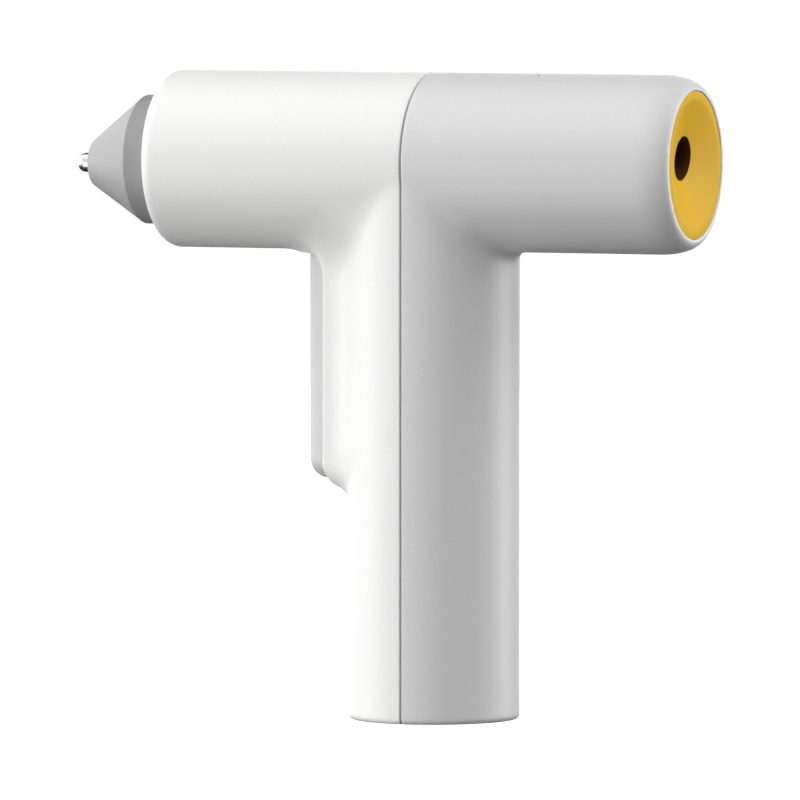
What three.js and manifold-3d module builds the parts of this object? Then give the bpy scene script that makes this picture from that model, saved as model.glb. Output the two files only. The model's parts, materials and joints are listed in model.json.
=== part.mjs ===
// Cordless hot-melt glue gun with a T-shaped body. Millimetres, +Z up.
// The origin is the middle of the handle's base. The nozzle points along -X, a glue stick goes in
// from +X, and the object stands on its handle. The glue line, the common axis of nozzle, melt
// chamber, feed carriage and guide tube, leans a little: it rises from the nozzle to the inlet.

import * as THREE from "three";
import { mergeVertices } from "three/addons/utils/BufferGeometryUtils.js";
import Module from "manifold-3d";

const wasm = await Module();
wasm.setup();

// ---------------------------------------------------------------- driving dimensions

// Barrel and handle
const BARREL_RADIUS = 19;
const BARREL_HEIGHT = 118.7; // barrel axis above the base
const BARREL_FRONT = -60.65;
const BARREL_REAR = 59.4;
const FRONT_ROUNDING = 2.8;
const REAR_ROUNDING_LENGTH = 7.4;
const REAR_ROUNDING_DEPTH = 2.7;
const HANDLE_HALF_LENGTH = 18.15;
const HANDLE_HALF_WIDTH = 18.6;
const BASE_ROUNDING = 1.1;
const WALL = 2.2;
const SEAM_X = -0.3;
const SEAM_LIP = 1.2; // thickness of the rear shell's locating lip
const SEAM_LIP_REACH = 2.5; // how far the lip enters the front shell

// Glue line
const GLUE_LEAN = THREE.MathUtils.degToRad(1.06);
const GLUE_RISE = 0.33; // glue line above the barrel axis at X = 0
const STICK_DIAMETER = 7;

// Nose
const NOSE_RADIUS = 13.85;
const NOSE_FLANGE_RADIUS = 15.4;
const NOSE_FLANGE = 1.5;
const NOSE_REACH = 5.57; // ring's tip ahead of the barrel's front
const NOSE_ROUNDING = 0.35;
const NOSE_RING_WALL = 2.25;
const CONE_LENGTH = 11.88;
const CONE_STEP = 0.25; // cone's base inside the ring's outside, on the radius
const CONE_TIP_RADIUS = 4.9;
const CONE_EDGE = 0.5;
const CONE_WALL = 1.6;
const CONE_TIP_WALL = 2.6; // from the cone's face to the nozzle's shoulder
const NOZZLE_RADIUS = 2.15;
const NOZZLE_REACH = 3.9; // nozzle's tip ahead of the cone's face
const NOZZLE_DOME_LENGTH = 1.9;
const NOZZLE_DOME_DEPTH = 1.2;
const NOZZLE_SHOULDER_RADIUS = 3.9;
const NOZZLE_SHOULDER_LENGTH = 6;
const NOZZLE_SHANK_RADIUS = 3.2;
const NOZZLE_OUTLET_RADIUS = 0.9;
const NOZZLE_SOCKET_DEPTH = 5; // how far the shank enters the chamber
const BALL_RADIUS = 1.5;
const BALL_PLAY = 0.3; // round the ball, on the radius
const VALVE_SPRING_WIRE = 0.2; // wire radius
const VALVE_SPRING_TURNS = 5;
const VALVE_SPRING_SEAT = 2; // behind the front of the nozzle's shoulder

// Melt chamber, its heater and its collars
const CHAMBER_WALL = 2.3;
const CHAMBER_FRONT = -66;
const CHAMBER_REAR = -26;
const CHAMBER_NECK_RADIUS = 1.1; // smaller than the ball, which rests on the neck's mouth
const HEATER_FRONT = -50;
const HEATER_LENGTH = 18;
const HEATER_HALF_WIDTH = 4;
const HEATER_THICKNESS = 1.8;
const CLAMP_WIDTH = 6;
const CLAMP_THICKNESS = 0.6;
const SLEEVE_THICKNESS = 0.6;
const COLLAR_WIDTH = 3.6;
const FRONT_COLLAR_X = -55.9;
const REAR_COLLAR_X = -30.2;
const TAB_WIDTH = 7; // height of the collar tabs that sit in the side plates
const SEAL_LENGTH = 10;
const SEAL_WALL = 2.2;
const SEAL_FLANGE = 1.6;
const SEAL_PLAY = 0.15; // round the stick, on the radius

// Stick funnel and guide tube
const FUNNEL_RADIUS = 15.72;
const FUNNEL_RIM = 1.9; // width of the flat ring
const FUNNEL_SLOPE = 0.316;
const FUNNEL_SET_BACK = 0.2; // ring's face behind the shell's rear edge
const FUNNEL_SEAT_DEPTH = 5;
const FUNNEL_STEP_LENGTH = 1.6; // narrower step in front of the seat
const FUNNEL_STEP_DEPTH = 2;
const FUNNEL_MOUTH_RADIUS = 4.7;
const FUNNEL_TAPER_LENGTH = 6; // from the mouth's hole to the stick's bore
const GUIDE_WALL = 1.3;
const GUIDE_FRONT = 7;

// Feed carriage, lever and jaw
const CARRIAGE_FRONT = -8;
const CARRIAGE_REAR = 16;
const CARRIAGE_HALF_HEIGHT = 6.5;
const SLEEVE_ENTRY = 4; // where the carriage widens into its sliding sleeve
const SLEEVE_WALL = 1.5;
const LEVER_X = -3;
const LEVER_PIVOT_DROP = 14.7; // pivot below the barrel axis
const LEVER_PIN_RADIUS = 1.5;
const LEVER_HALF_THICKNESS = 1.8;
const LEVER_HUB_RADIUS = 3.3;
const LEVER_LOWER_ARM = 12;
const LEVER_LOWER_HALF_WIDTH = 3.5;
const FORK_THICKNESS = 2.3;
const FORK_WALL = 1.6; // beside the fork's slot
const CARRIAGE_PIN_RADIUS = 1.5;
const CARRIAGE_TRAVEL = 6.5;
const JAW_HALF_WIDTH = 2.3;
const JAW_PIN_RADIUS = 0.9;
const JAW_PIN_X = -4.5;
const JAW_PIN_Z = 8.2;

// Trigger and its housing
const TRIGGER_FRONT = -28;
const TRIGGER_HALF_WIDTH = 7.4;
const TRIGGER_TOP_DROP = 0.96; // trigger's top below the barrel's underside
const TRIGGER_LENGTH = 47.7;
const TRIGGER_CORNER = 5;
const TRIGGER_BACK = -13.2;
const TRIGGER_WALL = 1.8;
const TRIGGER_TRAVEL = 5;
const TRIGGER_FLANGE = 1.4;
const TRIGGER_FLANGE_WIDTH = 1.2; // how far the flange stands out to each side
const POD_WALL = 0.6; // rim beside the trigger
const POD_NOSE_SAGITTA = 2.4;
const POD_LIP_X = -22.4;
const POD_FILLET_ANGLE = THREE.MathUtils.degToRad(143.4); // where the side fillet meets the handle
const POD_BEVEL = 1.5;
const POD_UNDERHANG = 2.4; // pod's end below the trigger opening
const BROW_FRONT = -30.2;
const BROW_FILLET = 8.5;
const SPRING_RADIUS = 2.6;
const SPRING_WIRE = 0.3; // wire radius
const SPRING_TURNS = 3.5;
const SPRING_BELOW_TOP = 37; // spring's axis below the trigger's top
const SPRING_SEAT_X = -13.6;
const STEM_HALF_WIDTH = 2.8;
const STEM_NOSE = 1.5;

// Chassis plates
const CHASSIS_INNER = 10.5;
const PLATE = 2;
const PLATE_FRONT = -57.2;
const PLATE_REAR = 50;
const PLATE_BOTTOM = 5;
const SCREW_SHANK = 1.2;
const SCREW_HEAD = 2.2;
const SCREW_HEAD_HEIGHT = 1.3;
const BOSS_RADIUS = 2.6;
const BASE_BOSS_TOP = 16;
const BASE_SCREW_HOLE_TOP = 13;
const BASE_SCREW_TIP = 12;
const RIB_X = -5.4; // front face of the cell rib
const RIB = 1.4;
const RIB_TOP_BELOW_TRIGGER = 23;
const RIB_HEIGHT = 28;

// Cell and electronics
const CELL_RADIUS = 9.25;
const CELL_LENGTH = 65;
const CELL_BOTTOM = 9.2;
const CELL_X = 6;
const HOLDER = 2.4;
const CONTACT = 0.3;
const PCB = 1.2;
const PCB_X = -8.5;
const PCB_BOTTOM = 8.4;
const PCB_TOP_BELOW_TRIGGER = 53;
const CAP_THICKNESS = 2.6;
const BASE_SCREW_Y = 11.8;
const BASE_SCREW_X = -2;
const USB_HALF_WIDTH = 4.47;
const USB_HALF_HEIGHT = 1.63;
const USB_LENGTH = 7.4;
const USB_SET_BACK = 0.7;
const WIRE_RADIUS = 0.6;

// Power button and its switch
const BUTTON_X = 30.2;
const BUTTON_RADIUS = 5.95;
const BUTTON_FLANGE_RADIUS = 7;
const BUTTON_FLANGE = 1;
const BUTTON_TRAVEL = 0.8;
const BUTTON_STEM = 1.5;
const SWITCH_HALF_WIDTH = 3;
const SWITCH_HEIGHT = 3.4;
const PLUNGER_RADIUS = 1.6;
const BOARD_HALF_LENGTH = 9;

// Clearances
const TOUCH = 0.3; // between pieces that touch or are clamped together
const SEAM_GAP = 0.4; // visible line between the two shells
const RUNNING = 0.2; // radial clearance of pins in bores
const SLIDING = 0.3; // around pieces that slide
const SOLDER = 0.1; // between a board and what is soldered to it
const STICK_PLAY = 0.4; // between stick and bores, on the radius

// Facets
const ROUND_BODY = 40;
const ROUND_MID = 24;
const ROUND_SMALL = 12;
const ROUND_TINY = 8;
const FILLET_STEPS = 3;
const ARC_STEPS = 3; // half the points on a drawn arc
const WIRE_STEPS = 3; // half the sides of a wire

// ---------------------------------------------------------------- derived positions

const STICK_BORE = STICK_DIAMETER / 2 + STICK_PLAY;
const CHAMBER_RADIUS = STICK_BORE + CHAMBER_WALL;
const GUIDE_RADIUS = STICK_BORE + GUIDE_WALL;
const CONE_REAR = BARREL_FRONT - NOSE_REACH - TOUCH;
const CONE_FRONT = CONE_REAR - CONE_LENGTH;
const CONE_BASE_RADIUS = NOSE_RADIUS - CONE_STEP;
const SPIGOT_RADIUS = NOSE_RADIUS - NOSE_RING_WALL - TOUCH;
const NOZZLE_TIP = CONE_FRONT - NOZZLE_REACH;
const SHOULDER_FRONT = CONE_FRONT + CONE_TIP_WALL;
const SHOULDER_REAR = SHOULDER_FRONT + NOZZLE_SHOULDER_LENGTH;
const NOZZLE_REAR = CHAMBER_FRONT + NOZZLE_SOCKET_DEPTH;
const NECK_MOUTH = NOZZLE_REAR + TOUCH;
const BALL_BORE = BALL_RADIUS + BALL_PLAY;
const SPRING_SEAT_IN_NOZZLE = SHOULDER_FRONT + VALVE_SPRING_SEAT;
const BARREL_UNDERSIDE = BARREL_HEIGHT - BARREL_RADIUS;
const TRIGGER_TOP = BARREL_UNDERSIDE - TRIGGER_TOP_DROP;
const TRIGGER_BOTTOM = TRIGGER_TOP - TRIGGER_LENGTH;
const OPENING_HALF_WIDTH = TRIGGER_HALF_WIDTH + SLIDING;
const PIVOT_Z = BARREL_HEIGHT - LEVER_PIVOT_DROP;
const LEVER_FORK_INNER = GUIDE_RADIUS + 0.4;
const LEVER_FORK_OUTER = LEVER_FORK_INNER + FORK_THICKNESS;
const CARRIAGE_HALF_WIDTH = LEVER_FORK_INNER - 0.4;
const CHASSIS_OUTER = CHASSIS_INNER + PLATE;
const LIP_INSET = WALL + SLIDING;
const CHASSIS_INSET = LIP_INSET + SEAM_LIP + SLIDING;
const CAVITY_RADIUS = BARREL_RADIUS - WALL;
const CELL_TOP = CELL_BOTTOM + CELL_LENGTH;
const PCB_TOP = TRIGGER_TOP - PCB_TOP_BELOW_TRIGGER;
const FUNNEL_FACE = BARREL_REAR - FUNNEL_SET_BACK;
const FUNNEL_SEAT = FUNNEL_FACE - FUNNEL_SEAT_DEPTH;
const SHOULDER_X = FUNNEL_SEAT - TOUCH; // rear face of the shell's ring under the funnel
const CHASSIS_SCREWS = [
  [LEVER_X + 1, CELL_TOP + HOLDER + 4.4],
  [CELL_X - 0.5, CELL_TOP + HOLDER + 4.4],
  [24, BARREL_HEIGHT - 8.1],
];
const SPRING_Z = TRIGGER_TOP - SPRING_BELOW_TOP;
const SWITCH_TOP = BARREL_HEIGHT + CAVITY_RADIUS - 3;

// ---------------------------------------------------------------- solids and placing

const FACING = {
  x: new THREE.Matrix4().makeBasis(
    new THREE.Vector3(0, 1, 0), new THREE.Vector3(0, 0, 1), new THREE.Vector3(1, 0, 0)),
  y: new THREE.Matrix4().makeBasis(
    new THREE.Vector3(1, 0, 0), new THREE.Vector3(0, 0, 1), new THREE.Vector3(0, -1, 0)),
  z: new THREE.Matrix4(),
};

/** Triangles of a geometry with its shared vertices merged and slivers of no area left out. */
function mergedTriangles(geometry) {
  const bare = new THREE.BufferGeometry();
  bare.setAttribute("position", geometry.attributes.position.clone());
  if (geometry.index) bare.setIndex(geometry.index.clone());
  const merged = mergeVertices(bare, 1e-4);
  const index = merged.index.array;
  const kept = [];
  for (let i = 0; i < index.length; i += 3) {
    const [a, b, c] = [index[i], index[i + 1], index[i + 2]];
    if (a !== b && b !== c && c !== a) kept.push(a, b, c);
  }
  return { points: merged.attributes.position.array, triangles: kept };
}

/** Six times the volume inside the triangles, positive where their faces point out. */
function signedVolume(points, triangles) {
  const corner = (k) => new THREE.Vector3().fromArray(points, 3 * triangles[k]);
  let sum = 0;
  for (let i = 0; i < triangles.length; i += 3) {
    sum += corner(i).dot(corner(i + 1).cross(corner(i + 2)));
  }
  return sum;
}

/** Closed solid of a three.js geometry, with its faces turned outwards. */
function solid(geometry) {
  const { points, triangles } = mergedTriangles(geometry);
  if (signedVolume(points, triangles) < 0) triangles.reverse();
  return new wasm.Manifold(new wasm.Mesh({
    numProp: 3,
    vertProperties: new Float32Array(points),
    triVerts: new Uint32Array(triangles),
  }));
}

/** Joins any number of solids. */
function joined(...solids) {
  return solids.reduce((whole, part) => whole.add(part));
}

/** Cuts any number of solids out of the first. */
function cut(body, ...tools) {
  return tools.reduce((rest, tool) => rest.subtract(tool), body);
}

/** Outline, with optional holes, pushed along an axis from one coordinate to another. */
function extruded(outline, axis, from, to, steps = ARC_STEPS) {
  const geometry = new THREE.ExtrudeGeometry(outline, {
    depth: to - from, bevelEnabled: false, curveSegments: steps,
  });
  geometry.applyMatrix4(FACING[axis]);
  const start = { x: [from, 0, 0], y: [0, to, 0], z: [0, 0, from] }[axis];
  return geometry.translate(...start);
}

/** Profile of [radius, distance along the axis] points, turned round an axis through a point. */
function turned(profile, axis, segments, at = [0, 0, 0]) {
  const points = profile.map(([radius, along]) => new THREE.Vector2(radius, along));
  const geometry = new THREE.LatheGeometry(points, segments);
  if (axis === "x") geometry.rotateZ(-Math.PI / 2);
  if (axis === "z") geometry.rotateX(Math.PI / 2);
  return geometry.translate(...at);
}

/** Round bar along an axis through a point. */
function rod(radius, axis, from, to, at = [0, 0, 0], segments = ROUND_SMALL) {
  return turned([[0, from], [radius, from], [radius, to], [0, to]], axis, segments, at);
}

/** Tube along an axis through a point. */
function tube(inner, outer, axis, from, to, at = [0, 0, 0], segments = ROUND_MID) {
  const profile = [[inner, from], [outer, from], [outer, to], [inner, to], [inner, from]];
  return turned(profile, axis, segments, at);
}

/** Box between two coordinates on each axis. */
function block([x0, x1], [y0, y1], [z0, z1]) {
  const geometry = new THREE.BoxGeometry(x1 - x0, y1 - y0, z1 - z0);
  return geometry.translate((x0 + x1) / 2, (y0 + y1) / 2, (z0 + z1) / 2);
}

/** Rectangle with round corners, as an outline. */
function roundedRectangle([a0, a1], [b0, b1], corner) {
  const shape = new THREE.Shape();
  shape.absarc(a1 - corner, b0 + corner, corner, -Math.PI / 2, 0);
  shape.absarc(a1 - corner, b1 - corner, corner, 0, Math.PI / 2);
  shape.absarc(a0 + corner, b1 - corner, corner, Math.PI / 2, Math.PI);
  shape.absarc(a0 + corner, b0 + corner, corner, Math.PI, 1.5 * Math.PI);
  return shape;
}

/** Points of a quarter ellipse as profile points, from one end's direction to the other's. */
function quarter([radius, along], radial, axial, start, end) {
  const points = [];
  for (let i = 0; i <= FILLET_STEPS; i += 1) {
    const angle = THREE.MathUtils.lerp(start, end, i / FILLET_STEPS);
    points.push([radius + radial * Math.cos(angle), along + axial * Math.sin(angle)]);
  }
  return points;
}

/** Matrix that takes the leaning glue line's own coordinates to the body's. */
function glueLineMatrix() {
  const lean = new THREE.Matrix4().makeRotationY(-GLUE_LEAN);
  return lean.setPosition(0, 0, BARREL_HEIGHT + GLUE_RISE);
}

/** Geometry drawn along the glue line, moved to the body's coordinates. */
function onGlueLine(geometry) {
  return geometry.applyMatrix4(glueLineMatrix());
}

/** Height of the glue line above the base at a place along the body. */
function glueHeight(x) {
  return BARREL_HEIGHT + GLUE_RISE + x * Math.tan(GLUE_LEAN);
}

/** Named mesh of a solid with the finish of its material. */
function piece(name, body, [color, roughness, metalness]) {
  const { vertProperties, triVerts } = body.getMesh();
  const geometry = new THREE.BufferGeometry();
  geometry.setAttribute("position", new THREE.BufferAttribute(vertProperties, 3));
  geometry.setIndex(new THREE.BufferAttribute(triVerts, 1));
  geometry.computeVertexNormals();
  const material = new THREE.MeshStandardMaterial({ color, roughness, metalness });
  const mesh = new THREE.Mesh(geometry, material);
  mesh.name = name;
  return mesh;
}

// Colour, roughness and metalness of each finish
const FINISH = {
  whiteShell: [0xf3f3f2, 0.45, 0],
  greyShell: [0xd3d3d4, 0.45, 0],
  noseRing: [0xa8a8a9, 0.5, 0],
  noseCone: [0xbdbdbe, 0.45, 0],
  yellow: [0xe8b522, 0.4, 0],
  steel: [0xc9cacc, 0.25, 1],
  aluminium: [0xb9bbbe, 0.4, 1],
  ceramic: [0xe6e0d2, 0.7, 0],
  mica: [0xb59a6a, 0.6, 0],
  silicone: [0xb2412e, 0.6, 0],
  blackPlastic: [0x2a2b2d, 0.55, 0],
  innerPlastic: [0xd9d6cc, 0.5, 0],
  board: [0x1f5d3a, 0.5, 0],
  cell: [0x3a73b8, 0.4, 0],
  nickel: [0xcfccc4, 0.3, 1],
  redWire: [0xb02a22, 0.5, 0],
  blackWire: [0x222222, 0.5, 0],
};

// ---------------------------------------------------------------- body shells

/** Barrel brought in by an inset all over, with its own rear end. */
function barrelForm(inset, rear = BARREL_REAR - inset) {
  const radius = BARREL_RADIUS - inset;
  const front = BARREL_FRONT + inset;
  const frontRounding = Math.max(FRONT_ROUNDING - inset, WALL / 5);
  const rearDepth = Math.max(REAR_ROUNDING_DEPTH - inset, WALL / 5);
  const profile = [
    [0, rear],
    ...quarter([radius - rearDepth, rear - REAR_ROUNDING_LENGTH], rearDepth,
      REAR_ROUNDING_LENGTH, Math.PI / 2, 0),
    ...quarter([radius - frontRounding, front + frontRounding], frontRounding,
      frontRounding, 0, -Math.PI / 2),
    [0, front],
  ];
  return solid(turned(profile, "x", ROUND_BODY, [0, 0, BARREL_HEIGHT]));
}

/** Oval handle brought in by an inset, from a height up to the barrel's axis. */
function handleForm(inset, bottom, rounding = WALL / 5) {
  const width = HANDLE_HALF_WIDTH - inset;
  const profile = [
    [0, bottom],
    ...quarter([width - rounding, bottom + rounding], rounding, rounding, -Math.PI / 2, 0),
    [width, BARREL_HEIGHT],
    [0, BARREL_HEIGHT],
  ];
  const oval = turned(profile, "z", ROUND_BODY);
  return solid(oval.scale((HANDLE_HALF_LENGTH - inset) / width, 1, 1));
}

/** Barrel and handle as one form, brought in by an inset. */
function bodyForm(inset, handleBottom, rear) {
  return joined(barrelForm(inset, rear), handleForm(inset, handleBottom));
}

/** Outline of the trigger housing from above: a shallow nose with fillets into the handle. */
function podOutline() {
  const halfWidth = OPENING_HALF_WIDTH + POD_WALL;
  const onHandle = new THREE.Vector2(
    HANDLE_HALF_LENGTH * Math.cos(POD_FILLET_ANGLE), HANDLE_HALF_WIDTH * Math.sin(POD_FILLET_ANGLE));
  const normal = new THREE.Vector2(
    onHandle.x / HANDLE_HALF_LENGTH ** 2, onHandle.y / HANDLE_HALF_WIDTH ** 2).normalize();
  const radius = (onHandle.y - halfWidth) / (1 - normal.y);
  const centre = onHandle.clone().addScaledVector(normal, radius);
  const leaving = Math.atan2(-normal.y, -normal.x);
  const noseRadius = (halfWidth ** 2 + POD_NOSE_SAGITTA ** 2) / (2 * POD_NOSE_SAGITTA);
  const noseCentre = POD_LIP_X - POD_NOSE_SAGITTA + noseRadius;
  const noseAngle = Math.asin(halfWidth / noseRadius);
  const shape = new THREE.Shape();
  shape.moveTo(0, -onHandle.y);
  shape.lineTo(onHandle.x, -onHandle.y);
  shape.absarc(centre.x, -centre.y, radius, -leaving, Math.PI / 2, false);
  shape.absarc(noseCentre, 0, noseRadius, Math.PI + noseAngle, Math.PI - noseAngle, true);
  shape.absarc(centre.x, centre.y, radius, -Math.PI / 2, leaving, false);
  shape.lineTo(0, onHandle.y);
  return shape;
}

/** Trigger housing on the front of the handle, with a rounded lower end. */
function triggerPod() {
  const bottom = TRIGGER_BOTTOM - POD_UNDERHANG;
  const column = new THREE.ExtrudeGeometry(podOutline(), {
    depth: BARREL_HEIGHT - bottom - 2 * POD_BEVEL,
    bevelThickness: POD_BEVEL,
    bevelSize: POD_BEVEL,
    bevelOffset: -POD_BEVEL,
    bevelSegments: 2,
    curveSegments: ARC_STEPS,
  });
  return solid(column.translate(0, 0, bottom + POD_BEVEL));
}

/** Fillet that carries the barrel's underside down to the flat edge above the trigger. */
function triggerBrow() {
  const halfWidth = OPENING_HALF_WIDTH + POD_WALL;
  const flat = TRIGGER_TOP + SLIDING;
  const angle = Math.acos(1 - (BARREL_UNDERSIDE - flat) / BROW_FILLET);
  const tangentX = BROW_FRONT - BROW_FILLET * Math.sin(angle);
  const shape = new THREE.Shape();
  shape.moveTo(0, BARREL_UNDERSIDE + WALL / 2);
  shape.lineTo(tangentX, BARREL_UNDERSIDE + WALL / 2);
  shape.absarc(tangentX, BARREL_UNDERSIDE - BROW_FILLET, BROW_FILLET, Math.PI / 2,
    Math.PI / 2 - angle, true);
  shape.lineTo(0, flat);
  return solid(extruded(shape, "y", -halfWidth, halfWidth));
}

/** Straight way for the trigger, from in front of the housing into the handle. */
function triggerWay(clearance, from, to) {
  const halfWidth = TRIGGER_HALF_WIDTH + clearance;
  const span = [TRIGGER_BOTTOM - clearance, TRIGGER_TOP + clearance];
  const outline = roundedRectangle([-halfWidth, halfWidth], span, TRIGGER_CORNER + clearance);
  return solid(extruded(outline, "x", from, to));
}

/** Everything on one side of an upright plane across the body. */
function side(from, to) {
  const reach = 2 * BARREL_HEIGHT;
  return solid(block([from, to], [-reach, reach], [-reach, reach]));
}

/** Space inside both shells: barrel, handle open at the base, and the way to the trigger. */
function shellCavity() {
  return bodyForm(WALL, -BARREL_RADIUS, FUNNEL_SEAT - TOUCH - WALL);
}

/** White front shell: front half of barrel and handle, with the trigger housing. */
function frontShell() {
  const outer = joined(
    barrelForm(0), handleForm(0, 0, BASE_ROUNDING), triggerPod(), triggerBrow());
  const noseOpening = rod(NOSE_RADIUS + TOUCH - 0.05, "x", BARREL_FRONT - WALL,
    BARREL_FRONT + 2 * WALL, [0, 0, BARREL_HEIGHT], ROUND_BODY);
  const half = outer.intersect(side(-BARREL_HEIGHT, SEAM_X - SEAM_GAP / 2));
  const openingBack = TRIGGER_BACK + TRIGGER_FLANGE;
  return piece("front_shell", cut(half, shellCavity(), solid(noseOpening),
    triggerWay(SLIDING, 2 * TRIGGER_FRONT, openingBack)), FINISH.whiteShell);
}

/** Lip on the rear shell's front edge that locates the front shell. */
function seamLip() {
  const from = SEAM_X - SEAM_LIP_REACH;
  const root = SEAM_X + SEAM_GAP / 2;
  const back = root + 2 * SEAM_LIP;
  const inner = bodyForm(LIP_INSET + SEAM_LIP, -BARREL_RADIUS);
  const lip = cut(bodyForm(LIP_INSET, CAP_THICKNESS + TOUCH), inner).intersect(side(from, back));
  const step = cut(bodyForm(WALL / 2, CAP_THICKNESS + TOUCH), inner).intersect(side(root, back));
  return joined(lip, step);
}

/** Light grey rear shell, with the funnel's seat and the power button's hole. */
function rearShell() {
  const outer = joined(barrelForm(0), handleForm(0, 0, BASE_ROUNDING));
  const half = outer.intersect(side(SEAM_X + SEAM_GAP / 2, BARREL_HEIGHT));
  const atAxis = [0, 0, BARREL_HEIGHT];
  const seatBore = rod(FUNNEL_RADIUS + 0.25, "x", SHOULDER_X, 2 * BARREL_REAR, atAxis, ROUND_BODY);
  const throat = rod(FUNNEL_RADIUS - 1.7, "x", 0, BARREL_REAR, atAxis, ROUND_MID);
  const buttonHole = rod(BUTTON_RADIUS + 0.25, "z", BARREL_HEIGHT + CAVITY_RADIUS / 2,
    BARREL_HEIGHT + 2 * BARREL_RADIUS, [BUTTON_X, 0, 0], ROUND_MID);
  const shell = cut(half, shellCavity(), solid(seatBore), solid(throat), solid(buttonHole));
  return piece("rear_shell", joined(shell, seamLip()), FINISH.greyShell);
}

/** Flat cap that closes the base, with the charging slot and the screw holes. */
function baseCap() {
  const inset = WALL + TOUCH;
  const top = CAP_THICKNESS;
  const plate = handleForm(inset, 0).intersect(
    solid(block([-99, 99], [-99, 99], [0, top])));
  const usbX = PCB_X - PCB / 2 - USB_HALF_HEIGHT - SOLDER;
  const slot = roundedRectangle([usbX - USB_HALF_HEIGHT - TOUCH, usbX + USB_HALF_HEIGHT + TOUCH],
    [-USB_HALF_WIDTH - TOUCH, USB_HALF_WIDTH + TOUCH], USB_HALF_HEIGHT);
  const tools = [solid(extruded(slot, "z", -1, top + 1))];
  for (const sign of [-1, 1]) {
    const at = [BASE_SCREW_X, sign * BASE_SCREW_Y, 0];
    tools.push(solid(rod(SCREW_SHANK + RUNNING, "z", -1, top + 1, at)));
    tools.push(solid(rod(SCREW_HEAD + RUNNING, "z", -1, SCREW_HEAD_HEIGHT + TOUCH, at)));
  }
  return piece("base_cap", cut(plate, ...tools), FINISH.greyShell);
}

// ---------------------------------------------------------------- nose

/** Darker collar between the front shell and the cone, held by a flange behind the shell. */
function noseRing() {
  const tip = BARREL_FRONT - NOSE_REACH;
  const wallBack = BARREL_FRONT + WALL + TOUCH;
  const bore = SPIGOT_RADIUS + TOUCH;
  const profile = [
    [bore, wallBack + NOSE_FLANGE],
    [NOSE_FLANGE_RADIUS, wallBack + NOSE_FLANGE],
    [NOSE_FLANGE_RADIUS, wallBack],
    [NOSE_RADIUS, wallBack],
    ...quarter([NOSE_RADIUS - NOSE_ROUNDING, tip + NOSE_ROUNDING], NOSE_ROUNDING, NOSE_ROUNDING,
      0, -Math.PI / 2),
    [bore, tip],
    [bore, wallBack + NOSE_FLANGE],
  ];
  const ring = turned(profile, "x", ROUND_BODY, [0, 0, BARREL_HEIGHT]);
  return piece("nose_ring", solid(ring), FINISH.noseRing);
}

/** Turned form whose centre line runs from the barrel axis to the glue line at the tip. */
function leaningCone(profile) {
  const drop = glueHeight(CONE_FRONT) - BARREL_HEIGHT;
  const lean = new THREE.Matrix4().makeShear(0, -drop / CONE_LENGTH, 0, 0, 0, 0);
  const cone = turned(profile, "x", ROUND_BODY);
  cone.translate(-CONE_REAR, 0, 0).applyMatrix4(lean);
  return solid(cone.translate(CONE_REAR, 0, BARREL_HEIGHT));
}

/** Light cone with a hollow back, a spigot in the ring and a bore for the nozzle. */
function noseCone() {
  const spigotRear = BARREL_FRONT + WALL;
  const outer = leaningCone([
    [0, CONE_REAR],
    [CONE_BASE_RADIUS, CONE_REAR],
    ...quarter([CONE_TIP_RADIUS - CONE_EDGE, CONE_FRONT + CONE_EDGE], CONE_EDGE, CONE_EDGE,
      0, -Math.PI / 2),
    [0, CONE_FRONT],
  ]);
  const spigot = solid(rod(SPIGOT_RADIUS, "x", CONE_REAR - 0.1, spigotRear, [0, 0, BARREL_HEIGHT],
    ROUND_MID));
  const hollow = leaningCone([
    [0, CONE_REAR + 0.1],
    [SPIGOT_RADIUS - CONE_WALL, CONE_REAR + 0.1],
    [NOZZLE_SHOULDER_RADIUS, SHOULDER_FRONT],
    [0, SHOULDER_FRONT],
  ]);
  const back = solid(rod(SPIGOT_RADIUS - CONE_WALL, "x", CONE_REAR, spigotRear + 1,
    [0, 0, BARREL_HEIGHT], ROUND_MID));
  const shoulderBore = solid(onGlueLine(rod(NOZZLE_SHOULDER_RADIUS + TOUCH, "x",
    SHOULDER_FRONT - TOUCH, SHOULDER_REAR, [0, 0, 0], ROUND_MID)));
  const tipBore = solid(onGlueLine(rod(NOZZLE_RADIUS + TOUCH, "x", 2 * CONE_FRONT, 0,
    [0, 0, 0], ROUND_MID)));
  const body = cut(joined(outer, spigot), hollow, back, shoulderBore, tipBore);
  return piece("nose_cone", body, FINISH.noseCone);
}

/** Steel nozzle: domed tip, shoulder inside the cone, shank in the chamber, bore for the ball. */
function nozzle() {
  const domeCentre = [NOZZLE_RADIUS - NOZZLE_DOME_DEPTH, NOZZLE_TIP + NOZZLE_DOME_LENGTH];
  const profile = [
    [NOZZLE_OUTLET_RADIUS, NOZZLE_TIP],
    ...quarter(domeCentre, NOZZLE_DOME_DEPTH, NOZZLE_DOME_LENGTH, -Math.PI / 2.6, 0),
    [NOZZLE_RADIUS, SHOULDER_FRONT],
    [NOZZLE_SHOULDER_RADIUS, SHOULDER_FRONT],
    [NOZZLE_SHOULDER_RADIUS, SHOULDER_REAR],
    [NOZZLE_SHANK_RADIUS, SHOULDER_REAR],
    [NOZZLE_SHANK_RADIUS, NOZZLE_REAR],
    [BALL_BORE, NOZZLE_REAR],
    [BALL_BORE, SPRING_SEAT_IN_NOZZLE],
    [NOZZLE_OUTLET_RADIUS, SPRING_SEAT_IN_NOZZLE - 1],
    [NOZZLE_OUTLET_RADIUS, NOZZLE_TIP],
  ];
  return piece("nozzle", solid(turned(profile, "x", ROUND_MID)), FINISH.steel);
}

/** Centre of the ball at rest, against the mouth of the chamber's neck. */
function ballCentre() {
  return NECK_MOUTH - Math.sqrt(BALL_RADIUS ** 2 - CHAMBER_NECK_RADIUS ** 2) - RUNNING;
}

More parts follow.
